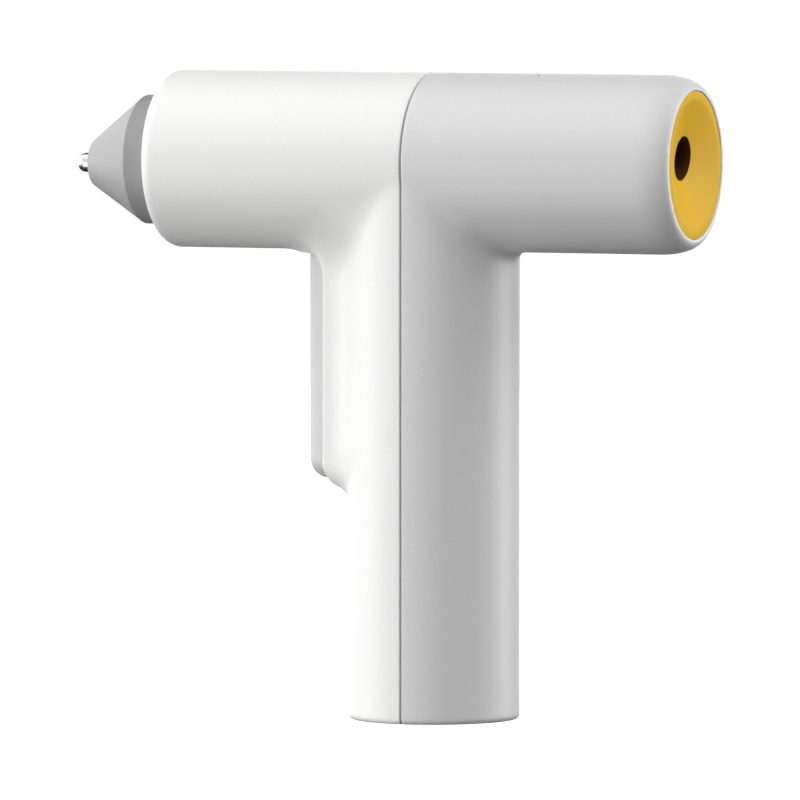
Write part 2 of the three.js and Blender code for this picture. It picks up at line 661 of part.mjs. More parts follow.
/** Ball that closes the chamber's neck until the glue's pressure pushes it forward. */
function nozzleBall() {
  const ball = new THREE.SphereGeometry(BALL_RADIUS, ROUND_SMALL, 8);
  return piece("nozzle_ball", solid(ball.translate(ballCentre(), 0, 0)), FINISH.steel);
}

/** Centre line of a coil spring along X. */
class CoilCurve extends THREE.Curve {
  constructor(radius, from, to, turns) {
    super();
    Object.assign(this, { radius, from, to, turns });
  }

  getPoint(t, target = new THREE.Vector3()) {
    const angle = 2 * Math.PI * this.turns * t;
    const x = THREE.MathUtils.lerp(this.from, this.to, t);
    return target.set(x, this.radius * Math.cos(angle), this.radius * Math.sin(angle));
  }
}

/** Round wire along a curve. */
function wireAlong(curve, radius, steps) {
  const section = new THREE.Shape();
  section.absarc(0, 0, radius, 0, 2 * Math.PI);
  return new THREE.ExtrudeGeometry(section, { steps, curveSegments: WIRE_STEPS, extrudePath: curve });
}

/** Spring in front of the ball that holds it on the neck's mouth. */
function nozzleSpring() {
  const end = ballCentre() - BALL_RADIUS + VALVE_SPRING_WIRE;
  const coil = new CoilCurve(BALL_RADIUS - 0.35, SPRING_SEAT_IN_NOZZLE + VALVE_SPRING_WIRE, end,
    VALVE_SPRING_TURNS);
  const wire = wireAlong(coil, VALVE_SPRING_WIRE, 8 * VALVE_SPRING_TURNS);
  return piece("nozzle_spring", solid(wire), FINISH.steel);
}

// ---------------------------------------------------------------- melt chamber

/** Aluminium melt chamber: stick bore behind, nozzle socket in front, flat top for the heater. */
function meltChamber() {
  const body = rod(CHAMBER_RADIUS, "x", CHAMBER_FRONT, CHAMBER_REAR, [0, 0, 0], ROUND_MID);
  const bore = turned([
    [0, CHAMBER_REAR + 1],
    [STICK_BORE, CHAMBER_REAR + 1],
    [STICK_BORE, NOZZLE_REAR + 8],
    [CHAMBER_NECK_RADIUS, NOZZLE_REAR + 2],
    [CHAMBER_NECK_RADIUS, CHAMBER_FRONT - 1],
    [0, CHAMBER_FRONT - 1],
  ], "x", ROUND_MID);
  const socket = rod(NOZZLE_SHANK_RADIUS + RUNNING, "x", CHAMBER_FRONT - 1, NECK_MOUTH, [0, 0, 0],
    ROUND_MID);
  const flat = block([HEATER_FRONT - 1, HEATER_FRONT + HEATER_LENGTH + 1],
    [-CHAMBER_RADIUS, CHAMBER_RADIUS], [heaterSeat(), 2 * CHAMBER_RADIUS]);
  return piece("melt_chamber", cut(solid(body), solid(bore), solid(socket), solid(flat)),
    FINISH.aluminium);
}

/** Height of the chamber's flat top above the glue line. */
function heaterSeat() {
  return CHAMBER_RADIUS - 1.2;
}

/** Ceramic heating plate on the chamber's flat top. */
function heaterPlate() {
  const bottom = heaterSeat() + TOUCH;
  const plate = block([HEATER_FRONT, HEATER_FRONT + HEATER_LENGTH],
    [-HEATER_HALF_WIDTH, HEATER_HALF_WIDTH], [bottom, bottom + HEATER_THICKNESS]);
  return piece("heater_plate", solid(plate), FINISH.ceramic);
}

/** Top of the heating plate above the glue line. */
function heaterTop() {
  return heaterSeat() + TOUCH + HEATER_THICKNESS;
}

/** Round-bottomed strap section round chamber and heater, grown by an offset. */
function strapForm(offset, from, to) {
  const halfWidth = HEATER_HALF_WIDTH + offset;
  return joined(
    solid(rod(CHAMBER_RADIUS + offset, "x", from, to, [0, 0, 0], ROUND_MID)),
    solid(block([from, to], [-halfWidth, halfWidth], [0, heaterTop() + offset])));
}

/** Sprung strap that presses the heating plate on the chamber. */
function heaterClamp() {
  const from = HEATER_FRONT + (HEATER_LENGTH - CLAMP_WIDTH) / 2;
  const to = from + CLAMP_WIDTH;
  const strap = cut(strapForm(TOUCH + CLAMP_THICKNESS, from, to), strapForm(TOUCH, from - 1, to + 1));
  return piece("heater_clamp", strap, FINISH.steel);
}

/** Temperature sensor beside the chamber. */
function thermistor() {
  const radius = 0.9;
  const bead = turned([
    [0, HEATER_FRONT + 1],
    [radius, HEATER_FRONT + 2],
    [radius, HEATER_FRONT + 4.7],
    [0, HEATER_FRONT + 5.2],
  ], "x", ROUND_TINY, [0, CHAMBER_RADIUS + TOUCH + radius, 0]);
  return piece("thermistor", solid(bead), FINISH.ceramic);
}

/** Outer radius of the insulating sleeve, which clears the strap's corners. */
function sleeveInner() {
  const halfWidth = HEATER_HALF_WIDTH + TOUCH + CLAMP_THICKNESS;
  return Math.hypot(halfWidth, heaterTop() + TOUCH + CLAMP_THICKNESS) + TOUCH;
}

/** Thin insulating sleeve between the two collars. */
function heatSleeve() {
  const inner = sleeveInner();
  const sleeve = tube(inner, inner + SLEEVE_THICKNESS, "x", FRONT_COLLAR_X + COLLAR_WIDTH + TOUCH,
    REAR_COLLAR_X - TOUCH);
  return piece("heat_sleeve", solid(sleeve), FINISH.mica);
}

/** Insulating collar that holds the chamber between the side plates by its two tabs. */
function collar(name, from) {
  const to = from + COLLAR_WIDTH;
  const outer = Math.min(CAVITY_RADIUS - GLUE_RISE - 2, sleeveInner() + 3);
  const flatAt = CHASSIS_INNER - TOUCH;
  const tabEnd = CHASSIS_OUTER - TOUCH;
  const disc = solid(rod(outer, "x", from, to, [0, 0, 0], ROUND_MID)).intersect(
    solid(block([from - 1, to + 1], [-flatAt, flatAt], [-outer, outer])));
  const tabs = solid(block([from + 0.5, to - 0.5], [-tabEnd, tabEnd], [-TAB_WIDTH / 2, TAB_WIDTH / 2]));
  const bore = solid(rod(CHAMBER_RADIUS + TOUCH, "x", from - 1, to + 1, [0, 0, 0], ROUND_MID));
  return piece(name, cut(joined(disc, tabs), bore), FINISH.ceramic);
}

/** Soft sleeve that wipes the stick and stops glue from running back. */
function inletSeal() {
  const from = CHAMBER_REAR + TOUCH;
  const bore = STICK_DIAMETER / 2 + SEAL_PLAY;
  const profile = [
    [bore, from],
    [CHAMBER_RADIUS, from],
    [CHAMBER_RADIUS, from + SEAL_FLANGE],
    [bore + SEAL_WALL, from + SEAL_FLANGE],
    [bore + SEAL_WALL, from + SEAL_LENGTH - 1],
    [bore + SEAL_WALL - 1, from + SEAL_LENGTH],
    [bore, from + SEAL_LENGTH],
    [bore, from],
  ];
  return piece("inlet_seal", solid(turned(profile, "x", ROUND_MID)), FINISH.silicone);
}

// ---------------------------------------------------------------- stick inlet and feed

/** Yellow funnel: flat ring, shallow dish, and the guide tube along the glue line. */
function stickFunnel() {
  const rim = FUNNEL_RADIUS - FUNNEL_RIM;
  const dishFloor = FUNNEL_FACE - FUNNEL_SLOPE * rim;
  const back = FUNNEL_SEAT - FUNNEL_STEP_LENGTH;
  const disc = turned([
    [0, back],
    [FUNNEL_RADIUS - FUNNEL_STEP_DEPTH, back],
    [FUNNEL_RADIUS - FUNNEL_STEP_DEPTH, FUNNEL_SEAT],
    [FUNNEL_RADIUS, FUNNEL_SEAT],
    [FUNNEL_RADIUS, FUNNEL_FACE],
    [rim, FUNNEL_FACE],
    [0, dishFloor],
  ], "x", ROUND_BODY, [0, 0, BARREL_HEIGHT]);
  const guide = onGlueLine(rod(GUIDE_RADIUS, "x", GUIDE_FRONT, back + 1, [0, 0, 0], ROUND_MID));
  const bore = onGlueLine(turned([
    [0, GUIDE_FRONT - 1],
    [STICK_BORE, GUIDE_FRONT - 1],
    [STICK_BORE, back - FUNNEL_TAPER_LENGTH],
    [FUNNEL_MOUTH_RADIUS, back],
    [FUNNEL_MOUTH_RADIUS, 2 * BARREL_REAR],
    [0, 2 * BARREL_REAR],
  ], "x", ROUND_MID));
  const body = cut(joined(solid(disc), solid(guide)), solid(bore));
  return piece("stick_funnel", body, FINISH.yellow);
}

/** Carriage round the stick, sliding on the guide tube and led by pins in the side plates. */
function feedCarriage() {
  const width = [-CARRIAGE_HALF_WIDTH, CARRIAGE_HALF_WIDTH];
  const head = block([CARRIAGE_FRONT, SLEEVE_ENTRY], width, [-CARRIAGE_HALF_HEIGHT,
    CARRIAGE_HALF_HEIGHT]);
  const ears = block([JAW_PIN_X - 2.2, JAW_PIN_X + 2.2], width, [0, JAW_PIN_Z + 2]);
  const sleeveBore = GUIDE_RADIUS + SLIDING;
  const sleeve = rod(sleeveBore + SLEEVE_WALL, "x", SLEEVE_ENTRY - 0.1, CARRIAGE_REAR, [0, 0, 0],
    ROUND_MID);
  const pinEnd = CHASSIS_OUTER - TOUCH;
  const pins = rod(CARRIAGE_PIN_RADIUS, "y", -pinEnd, pinEnd, [LEVER_X, 0, 0]);
  const stickBore = rod(STICK_BORE, "x", CARRIAGE_FRONT - 1, CARRIAGE_REAR, [0, 0, 0], ROUND_MID);
  const guideBore = rod(sleeveBore, "x", GUIDE_FRONT - 1, CARRIAGE_REAR + 1, [0, 0, 0], ROUND_MID);
  const jawSlot = block([CARRIAGE_FRONT + 1, SLEEVE_ENTRY - 1.5],
    [-JAW_HALF_WIDTH - SLIDING, JAW_HALF_WIDTH + SLIDING], [0, 2 * JAW_PIN_Z]);
  const pinHole = rod(JAW_PIN_RADIUS + RUNNING, "y", -CARRIAGE_HALF_WIDTH - 1,
    CARRIAGE_HALF_WIDTH + 1, [JAW_PIN_X, 0, JAW_PIN_Z], ROUND_TINY);
  const body = cut(joined(solid(head), solid(ears), solid(sleeve), solid(pins)),
    solid(stickBore), solid(guideBore), solid(jawSlot), solid(pinHole));
  return piece("feed_carriage", body, FINISH.blackPlastic);
}

/** Steel jaw with teeth that bites the stick as the carriage moves forward. */
function clampJaw() {
  const toe = STICK_DIAMETER / 2 + 0.2;
  const teeth = 3;
  const pitch = 1.3;
  const shape = new THREE.Shape();
  shape.absarc(JAW_PIN_X, JAW_PIN_Z, 1.9, Math.PI, 0.2 * Math.PI, true);
  shape.lineTo(JAW_PIN_X + 1 + teeth * pitch, toe + 2.2);
  for (let i = teeth; i > 0; i -= 1) {
    shape.lineTo(JAW_PIN_X + 1 + i * pitch, toe);
    shape.lineTo(JAW_PIN_X + 1 + (i - 1) * pitch, toe + 0.7);
  }
  const body = solid(extruded(shape, "y", -JAW_HALF_WIDTH, JAW_HALF_WIDTH));
  const hole = solid(rod(JAW_PIN_RADIUS + RUNNING, "y", -JAW_HALF_WIDTH - 1, JAW_HALF_WIDTH + 1,
    [JAW_PIN_X, 0, JAW_PIN_Z], ROUND_TINY));
  return piece("clamp_jaw", cut(body, hole), FINISH.steel);
}

/** Pin of the clamp jaw, in the carriage's ears. */
function jawPin() {
  const pin = rod(JAW_PIN_RADIUS, "y", -CARRIAGE_HALF_WIDTH, CARRIAGE_HALF_WIDTH,
    [JAW_PIN_X, 0, JAW_PIN_Z], ROUND_TINY);
  return piece("jaw_pin", solid(pin), FINISH.steel);
}

/** Rocking lever: the trigger pushes its lower arm, its fork moves the carriage. */
function driveLever() {
  const at = [LEVER_X, 0, PIVOT_Z];
  const hub = rod(LEVER_HUB_RADIUS, "y", -LEVER_FORK_OUTER, LEVER_FORK_OUTER, at);
  const lower = block([LEVER_X - LEVER_HALF_THICKNESS, LEVER_X + LEVER_HALF_THICKNESS],
    [-LEVER_LOWER_HALF_WIDTH, LEVER_LOWER_HALF_WIDTH], [PIVOT_Z - LEVER_LOWER_ARM - 2.5, PIVOT_Z]);
  const slotHalf = CARRIAGE_PIN_RADIUS + SLIDING;
  const forkHalf = slotHalf + FORK_WALL;
  const pinZ = glueHeight(LEVER_X);
  const forkTop = pinZ + CARRIAGE_PIN_RADIUS + 1.5;
  const arms = [];
  for (const sign of [-1, 1]) {
    const span = [sign * LEVER_FORK_INNER, sign * LEVER_FORK_OUTER].sort((a, b) => a - b);
    arms.push(solid(block([LEVER_X - forkHalf, LEVER_X + forkHalf], span, [PIVOT_Z, forkTop])));
  }
  const slot = block([LEVER_X - slotHalf, LEVER_X + slotHalf],
    [-CHASSIS_OUTER, CHASSIS_OUTER], [pinZ - CARRIAGE_PIN_RADIUS - 2, forkTop + 1]);
  const pinHole = rod(LEVER_PIN_RADIUS + RUNNING, "y", -CHASSIS_OUTER, CHASSIS_OUTER, at);
  const body = cut(joined(solid(hub), solid(lower), ...arms), solid(slot), solid(pinHole));
  return piece("drive_lever", body, FINISH.blackPlastic);
}

/** Pivot pin of the lever, held in both side plates. */
function leverPin() {
  const end = CHASSIS_OUTER - TOUCH / 2;
  const pin = rod(LEVER_PIN_RADIUS, "y", -end, end, [LEVER_X, 0, PIVOT_Z]);
  return piece("lever_pin", solid(pin), FINISH.steel);
}

// ---------------------------------------------------------------- trigger

/** Upright bar with a half-round front, from a given front to a given back. */
function triggerBar(inset, back) {
  const halfWidth = TRIGGER_HALF_WIDTH - inset;
  const noseCentre = TRIGGER_FRONT + TRIGGER_HALF_WIDTH;
  const outline = new THREE.Shape();
  outline.moveTo(back, -halfWidth);
  outline.lineTo(back, halfWidth);
  outline.absarc(noseCentre, 0, halfWidth, Math.PI / 2, 1.5 * Math.PI, false);
  return solid(extruded(outline, "z", TRIGGER_BOTTOM, TRIGGER_TOP));
}

/** Hollow trigger with its flange, spring web and the stem that pushes the lever. */
function trigger() {
  const front = TRIGGER_FRONT - 1;
  const outer = triggerBar(0, TRIGGER_BACK + 0.1).intersect(triggerWay(0, front, TRIGGER_BACK + 1));
  const inner = triggerBar(TRIGGER_WALL, 0).intersect(triggerWay(-TRIGGER_WALL, front, 0));
  const wide = TRIGGER_HALF_WIDTH + TRIGGER_FLANGE_WIDTH;
  const flangeOutline = roundedRectangle([-wide, wide], [TRIGGER_BOTTOM, TRIGGER_TOP], TRIGGER_CORNER);
  const flange = solid(extruded(flangeOutline, "x", TRIGGER_BACK, TRIGGER_BACK + TRIGGER_FLANGE));
  const inside = TRIGGER_HALF_WIDTH - TRIGGER_WALL / 2;
  const webFront = SPRING_SEAT_X - TRIGGER_WALL;
  const web = solid(block([webFront, SPRING_SEAT_X], [-inside, inside],
    [SPRING_Z - 5, SPRING_Z + 5]));
  const stemZ = PIVOT_Z - LEVER_LOWER_ARM;
  const noseX = LEVER_X - LEVER_HALF_THICKNESS - RUNNING - STEM_NOSE;
  const stemWeb = solid(block([TRIGGER_FRONT + TRIGGER_WALL, noseX],
    [-STEM_HALF_WIDTH, STEM_HALF_WIDTH], [stemZ - STEM_NOSE, stemZ + STEM_NOSE]));
  const stemNose = solid(rod(STEM_NOSE, "y", -STEM_HALF_WIDTH, STEM_HALF_WIDTH, [noseX, 0, stemZ]));
  const body = joined(cut(joined(outer, flange), inner), web, stemWeb, stemNose);
  return piece("trigger", body, FINISH.whiteShell);
}

/** Return spring between the trigger's web and the chassis rib. */
function triggerSpring() {
  const inset = SPRING_WIRE + 0.15;
  const coil = new CoilCurve(SPRING_RADIUS, SPRING_SEAT_X + inset, RIB_X - inset, SPRING_TURNS);
  const wire = wireAlong(coil, SPRING_WIRE, Math.round(10 * SPRING_TURNS));
  return piece("trigger_spring", solid(wire.translate(0, 0, SPRING_Z)), FINISH.steel);
}

// ---------------------------------------------------------------- chassis

/** One flat side plate inside the shells, before its holes are cut. */
function plateBlank(sign) {
  const span = [sign * CHASSIS_INNER, sign * CHASSIS_OUTER].sort((a, b) => a - b);
  const slab = block([PLATE_FRONT, PLATE_REAR], span, [PLATE_BOTTOM, 2 * BARREL_HEIGHT]);
  return bodyForm(CHASSIS_INSET, PLATE_BOTTOM - 1).intersect(solid(slab));
}

/** Slots and holes that go through both side plates. */
function plateCuts() {
  const reach = 2 * CHASSIS_OUTER;
  const pinHalf = CARRIAGE_PIN_RADIUS + SLIDING;
  const slot = onGlueLine(block([LEVER_X - CARRIAGE_TRAVEL - 2 * pinHalf, LEVER_X + pinHalf + 0.5],
    [-reach, reach], [-pinHalf, pinHalf]));
  const cuts = [solid(slot)];
  for (const from of [FRONT_COLLAR_X, REAR_COLLAR_X]) {
    cuts.push(solid(onGlueLine(block([from + 0.5 - TOUCH, from + COLLAR_WIDTH - 0.5 + TOUCH],
      [-reach, reach], [-TAB_WIDTH / 2 - TOUCH, TAB_WIDTH / 2 + TOUCH]))));
  }
  cuts.push(solid(rod(LEVER_PIN_RADIUS + RUNNING / 2, "y", -reach, reach, [LEVER_X, 0, PIVOT_Z])));
  return cuts;
}

/** Upright boss on a side plate for a base screw. */
function baseBoss(sign) {
  return solid(rod(BOSS_RADIUS, "z", CAP_THICKNESS + TOUCH, BASE_BOSS_TOP,
    [BASE_SCREW_X, sign * BASE_SCREW_Y, 0]));
}

/** Hole of the base screw in its boss. */
function baseScrewHole(sign) {
  return solid(rod(SCREW_SHANK + SOLDER, "z", 0, BASE_SCREW_HOLE_TOP,
    [BASE_SCREW_X, sign * BASE_SCREW_Y, 0]));
}

/** Near side plate with the screw bosses and the rib between trigger spring and cell. */
function chassisLeft() {
  const bosses = CHASSIS_SCREWS.map(([x, z]) => solid(
    rod(BOSS_RADIUS, "y", -CHASSIS_OUTER, CHASSIS_INNER - TOUCH, [x, 0, z])));
  const holes = CHASSIS_SCREWS.map(([x, z]) => solid(
    rod(SCREW_SHANK + SOLDER, "y", -CHASSIS_INNER, CHASSIS_OUTER, [x, 0, z])));
  const ribTop = TRIGGER_TOP - RIB_TOP_BELOW_TRIGGER;
  const rib = solid(block([RIB_X, RIB_X + RIB], [-CHASSIS_OUTER + 0.5, CHASSIS_INNER - TOUCH],
    [ribTop - RIB_HEIGHT, ribTop]));
  const plate = joined(plateBlank(-1), baseBoss(-1), ...bosses, rib);
  return piece("chassis_left", cut(plate, ...plateCuts(), ...holes, baseScrewHole(-1)),
    FINISH.innerPlastic);
}

/** Far side plate, screwed to the near one. */
function chassisRight() {
  const bosses = CHASSIS_SCREWS.map(([x, z]) => solid(
    rod(BOSS_RADIUS, "y", CHASSIS_INNER, CHASSIS_OUTER, [x, 0, z])));
  const holes = CHASSIS_SCREWS.map(([x, z]) => solid(
    rod(SCREW_SHANK + RUNNING, "y", 0, 2 * CHASSIS_OUTER, [x, 0, z])));
  const plate = joined(plateBlank(1), baseBoss(1), ...bosses);
  return piece("chassis_right", cut(plate, ...plateCuts(), ...holes, baseScrewHole(1)),
    FINISH.innerPlastic);
}

/** Screw with a round head, its shank pointing along -Y from the far plate. */
function chassisScrew(number) {
  const [x, z] = CHASSIS_SCREWS[number - 1];
  const seat = CHASSIS_OUTER + SOLDER;
  const tip = -CHASSIS_INNER + TOUCH;
  const screw = turned([
    [0, tip],
    [SCREW_SHANK, tip + 1],
    [SCREW_SHANK, seat],
    [SCREW_HEAD, seat],
    [SCREW_HEAD, seat + SCREW_HEAD_HEIGHT / 2],
    [0, seat + SCREW_HEAD_HEIGHT],
  ], "y", ROUND_TINY, [x, 0, z]);
  return piece(`chassis_screw_${number}`, solid(screw), FINISH.steel);
}

/** Screw through the base cap into a side plate's boss. */
function baseScrew(number) {
  const sign = number === 1 ? -1 : 1;
  const seat = SCREW_HEAD_HEIGHT + TOUCH - SOLDER;
  const screw = turned([
    [0, seat - SCREW_HEAD_HEIGHT],
    [SCREW_HEAD, seat - SCREW_HEAD_HEIGHT],
    [SCREW_HEAD, seat],
    [SCREW_SHANK, seat],
    [SCREW_SHANK, BASE_SCREW_TIP - 1],
    [0, BASE_SCREW_TIP],
  ], "z", ROUND_TINY, [BASE_SCREW_X, sign * BASE_SCREW_Y, 0]);
  return piece(`base_screw_${number}`, solid(screw), FINISH.steel);
}

// ---------------------------------------------------------------- cell and electronics

/** Rechargeable cell upright in the handle. */
function batteryCell() {
  const edge = 0.8;
  const nub = 1;
  const cell = turned([
    [0, CELL_BOTTOM],
    [CELL_RADIUS - edge, CELL_BOTTOM],
    [CELL_RADIUS, CELL_BOTTOM + edge],
    [CELL_RADIUS, CELL_TOP - edge - nub],
    [CELL_RADIUS - edge, CELL_TOP - nub],
    [3, CELL_TOP - nub],
    [2.8, CELL_TOP],
    [0, CELL_TOP],
  ], "z", ROUND_MID, [CELL_X, 0, 0]);
  return piece("battery_cell", solid(cell), FINISH.cell);
}

/** Nickel strip that touches one end of the cell. */
function cellContact(name, bottom) {
  const strip = block([CELL_X - 4, CELL_X + 4], [-3, 3], [bottom, bottom + CONTACT]);
  return piece(name, solid(strip), FINISH.nickel);
}

/** Plastic cross-piece that holds one end of the cell between the side plates. */
function cellHolder(name, bottom) {
  const halfWidth = CHASSIS_INNER - TOUCH;
  const bar = solid(block([CELL_X - 5, CELL_X + 5], [-halfWidth, halfWidth],
    [bottom, bottom + HOLDER]));
  const eyelet = solid(rod(1.5, "z", bottom - 1, bottom + HOLDER + 1, [CELL_X, 0, 0], ROUND_TINY));
  return piece(name, cut(bar, eyelet), FINISH.blackPlastic);
}

/** Main board in front of the cell, with its chips on the front face. */
function mainBoard() {
  const halfWidth = CHASSIS_INNER - TOUCH;
  const front = PCB_X - PCB / 2;
  const parts = [solid(block([front, PCB_X + PCB / 2], [-halfWidth, halfWidth],
    [PCB_BOTTOM, PCB_TOP]))];
  const chips = [
    [-2.5, 2.5, 24, 29, 1.2],
    [-7, -3.5, 31, 35, 2],
    [3, 8, 18, 22.5, 1.6],
    [-8, -5, 18, 20, 0.9],
    [4, 7, 33, 38, 1.4],
  ];
  for (const [y0, y1, z0, z1, height] of chips) {
    parts.push(solid(block([front - height, front + 0.1], [y0, y1], [z0, z1])));
  }
  return piece("main_pcb", joined(...parts), FINISH.board);
}

/** Charging socket on the main board, facing down through the base cap. */
function usbPort() {
  const x = PCB_X - PCB / 2 - USB_HALF_HEIGHT - SOLDER;
  const top = USB_SET_BACK + USB_LENGTH + CAP_THICKNESS + 2;
  const wall = 0.35;
  const outline = (inset) => roundedRectangle(
    [x - USB_HALF_HEIGHT + inset, x + USB_HALF_HEIGHT - inset],
    [-USB_HALF_WIDTH + inset, USB_HALF_WIDTH - inset], USB_HALF_HEIGHT - inset - 0.02);
  const shell = solid(extruded(outline(0), "z", USB_SET_BACK, top));
  const hollow = solid(extruded(outline(wall), "z", 0, top - 1));
  const tongue = solid(block([x - 0.35, x + 0.35], [-3.2, 3.2], [USB_SET_BACK + 1, top - 0.5]));
  return piece("usb_port", joined(cut(shell, hollow), tongue), FINISH.nickel);
}

/** Insulated wire along points. */
function wire(name, points, finish) {
  const curve = new THREE.CatmullRomCurve3(points.map((p) => new THREE.Vector3(...p)));
  return piece(name, solid(wireAlong(curve, WIRE_RADIUS, 4 * (points.length - 1))), finish);
}

/** Two heater wires, from the main board past the trigger to the heating plate. */
function heaterWires() {
  const outward = CHASSIS_INNER - TOUCH - WIRE_RADIUS - 0.1;
  const plateZ = glueHeight(REAR_COLLAR_X) + heaterTop();
  const route = (sign) => [
    [PCB_X + 1.6, sign * outward, PCB_TOP - 8],
    [PCB_X + 1.6, sign * outward, TRIGGER_TOP - 35],
    [PCB_X + 1, sign * outward, TRIGGER_TOP],
    [LEVER_X - 8.5, sign * outward, PIVOT_Z + 3],
    [LEVER_X - 17, sign * outward, BARREL_HEIGHT],
    [CHAMBER_REAR + 1, sign * 8, BARREL_HEIGHT + 7],
    [CHAMBER_REAR + 0.6, sign * 4, plateZ + 1],
  ];
  return [
    wire("heater_wire_a", route(-1), FINISH.redWire),
    wire("heater_wire_b", route(1), FINISH.blackWire),
  ];
}

// ---------------------------------------------------------------- power button

/** Flush round button whose top follows the barrel, with flange and stem. */
function powerButton() {
  const at = [BUTTON_X, 0, 0];
  const sideAtFlange = Math.sqrt(CAVITY_RADIUS ** 2 - BUTTON_FLANGE_RADIUS ** 2);
  const flangeTop = BARREL_HEIGHT + sideAtFlange - TOUCH;
  const flangeBottom = flangeTop - BUTTON_FLANGE;
  const column = solid(rod(BUTTON_RADIUS, "z", flangeBottom, 2 * BARREL_HEIGHT, at, ROUND_MID));
  const flange = solid(rod(BUTTON_FLANGE_RADIUS, "z", flangeBottom, flangeTop, at, ROUND_MID));
  const stem = solid(rod(BUTTON_STEM, "z", SWITCH_TOP + TOUCH, flangeTop, at, ROUND_TINY));
  const body = joined(column.intersect(barrelForm(0.05)), flange, stem);
  return piece("power_button", body, FINISH.greyShell);
}

/** Plunger of the switch, pressed by the button's stem. */
function switchPlunger() {
  const bottom = SWITCH_TOP - 1.8;
  const pin = rod(PLUNGER_RADIUS, "z", bottom, SWITCH_TOP, [BUTTON_X, 0, 0], ROUND_TINY);
  return piece("switch_plunger", solid(pin), FINISH.blackPlastic);
}

/** Switch body, open at the top for the plunger. */
function tactSwitch() {
  const top = SWITCH_TOP - 1;
  const bottom = top - SWITCH_HEIGHT;
  const half = SWITCH_HALF_WIDTH;
  const body = solid(block([BUTTON_X - half, BUTTON_X + half], [-half, half], [bottom, top]));
  const well = solid(rod(PLUNGER_RADIUS + RUNNING, "z", top - 0.8 - BUTTON_TRAVEL - TOUCH, top + 1,
    [BUTTON_X, 0, 0], ROUND_TINY));
  return piece("tact_switch", cut(body, well), FINISH.steel);
}

/** Small board under the switch, between the side plates. */
function buttonBoard() {
  const top = SWITCH_TOP - 1 - SWITCH_HEIGHT - SOLDER;
  const halfWidth = CHASSIS_INNER - TOUCH;
  const board = block([BUTTON_X - BOARD_HALF_LENGTH, BUTTON_X + BOARD_HALF_LENGTH],
    [-halfWidth, halfWidth], [top - PCB, top]);
  return piece("button_board", solid(board), FINISH.board);
}

// ---------------------------------------------------------------- assembly

const glueLine = new THREE.Group();
glueLine.position.set(0, 0, BARREL_HEIGHT + GLUE_RISE);
glueLine.rotation.y = -GLUE_LEAN;
glueLine.add(
  nozzle(),
  nozzleBall(),
  nozzleSpring(),
  meltChamber(),
  heaterPlate(),
  heaterClamp(),
  thermistor(),
  heatSleeve(),
  collar("front_collar", FRONT_COLLAR_X),
  collar("rear_collar", REAR_COLLAR_X),
  inletSeal(),
  feedCarriage(),
  clampJaw(),
  jawPin(),
);

const glueGun = new THREE.Group();
glueGun.add(
  frontShell(),
  rearShell(),
  baseCap(),
  baseScrew(1),
  baseScrew(2),
  noseRing(),
  noseCone(),
  glueLine,
  stickFunnel(),
  driveLever(),
  leverPin(),
  trigger(),
  triggerSpring(),
  chassisLeft(),
  chassisRight(),
  chassisScrew(1),
  chassisScrew(2),
  chassisScrew(3),
  batteryCell(),
  cellHolder("cell_seat", CELL_BOTTOM - TOUCH - CONTACT - SOLDER - HOLDER),
  cellHolder("cell_cap", CELL_TOP + TOUCH + CONTACT + SOLDER),
  cellContact("cell_contact_bottom", CELL_BOTTOM - TOUCH - CONTACT),
  cellContact("cell_contact_top", CELL_TOP + TOUCH),
  mainBoard(),
  usbPort(),
  ...heaterWires(),
  powerButton(),
  switchPlunger(),
  tactSwitch(),
  buttonBoard(),
);

export default glueGun;
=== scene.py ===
"""Cordless glue gun with a T-shaped body: its visible pieces, finishes, camera and studio.

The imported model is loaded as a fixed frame. Each operator makes one piece or group of like
pieces round it. Lengths inside this file are millimetres, and meshes are written in metres.
"""

import functools
import json
import math

import bpy
import numpy as np
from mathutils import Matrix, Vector


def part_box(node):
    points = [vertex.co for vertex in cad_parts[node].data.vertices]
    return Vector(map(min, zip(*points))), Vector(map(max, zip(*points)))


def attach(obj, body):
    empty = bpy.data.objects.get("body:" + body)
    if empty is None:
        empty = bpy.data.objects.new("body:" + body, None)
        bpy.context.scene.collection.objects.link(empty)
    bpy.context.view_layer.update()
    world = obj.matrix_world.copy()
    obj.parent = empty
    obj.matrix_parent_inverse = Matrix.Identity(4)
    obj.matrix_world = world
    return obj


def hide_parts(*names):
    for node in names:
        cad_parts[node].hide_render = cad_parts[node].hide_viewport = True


bl_info = {
    "name": "Glue Gun Maker",
    "version": (1, 0, 0),
    "blender": (4, 5, 0),
    "location": "View3D > Sidebar > Glue Gun",
    "description": "Models the shells, nose, inlet, trigger and button of a cordless glue gun",
    "category": "Object",
}

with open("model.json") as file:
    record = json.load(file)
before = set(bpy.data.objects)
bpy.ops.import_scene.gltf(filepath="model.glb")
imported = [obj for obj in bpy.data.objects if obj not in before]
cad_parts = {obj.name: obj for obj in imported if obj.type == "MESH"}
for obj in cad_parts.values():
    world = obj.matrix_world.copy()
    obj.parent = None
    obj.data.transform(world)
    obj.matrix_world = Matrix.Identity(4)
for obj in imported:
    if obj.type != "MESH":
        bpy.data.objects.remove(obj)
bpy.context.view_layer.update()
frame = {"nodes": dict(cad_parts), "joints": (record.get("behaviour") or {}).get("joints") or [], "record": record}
HOUSING = "housing"
MM = 0.001


def box_mm(node):
    """Lowest and highest corner of a frame node, in millimetres."""
    low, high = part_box(node)
    return np.array(low) / MM, np.array(high) / MM


# ------------------------------------------------------------------ places from the frame

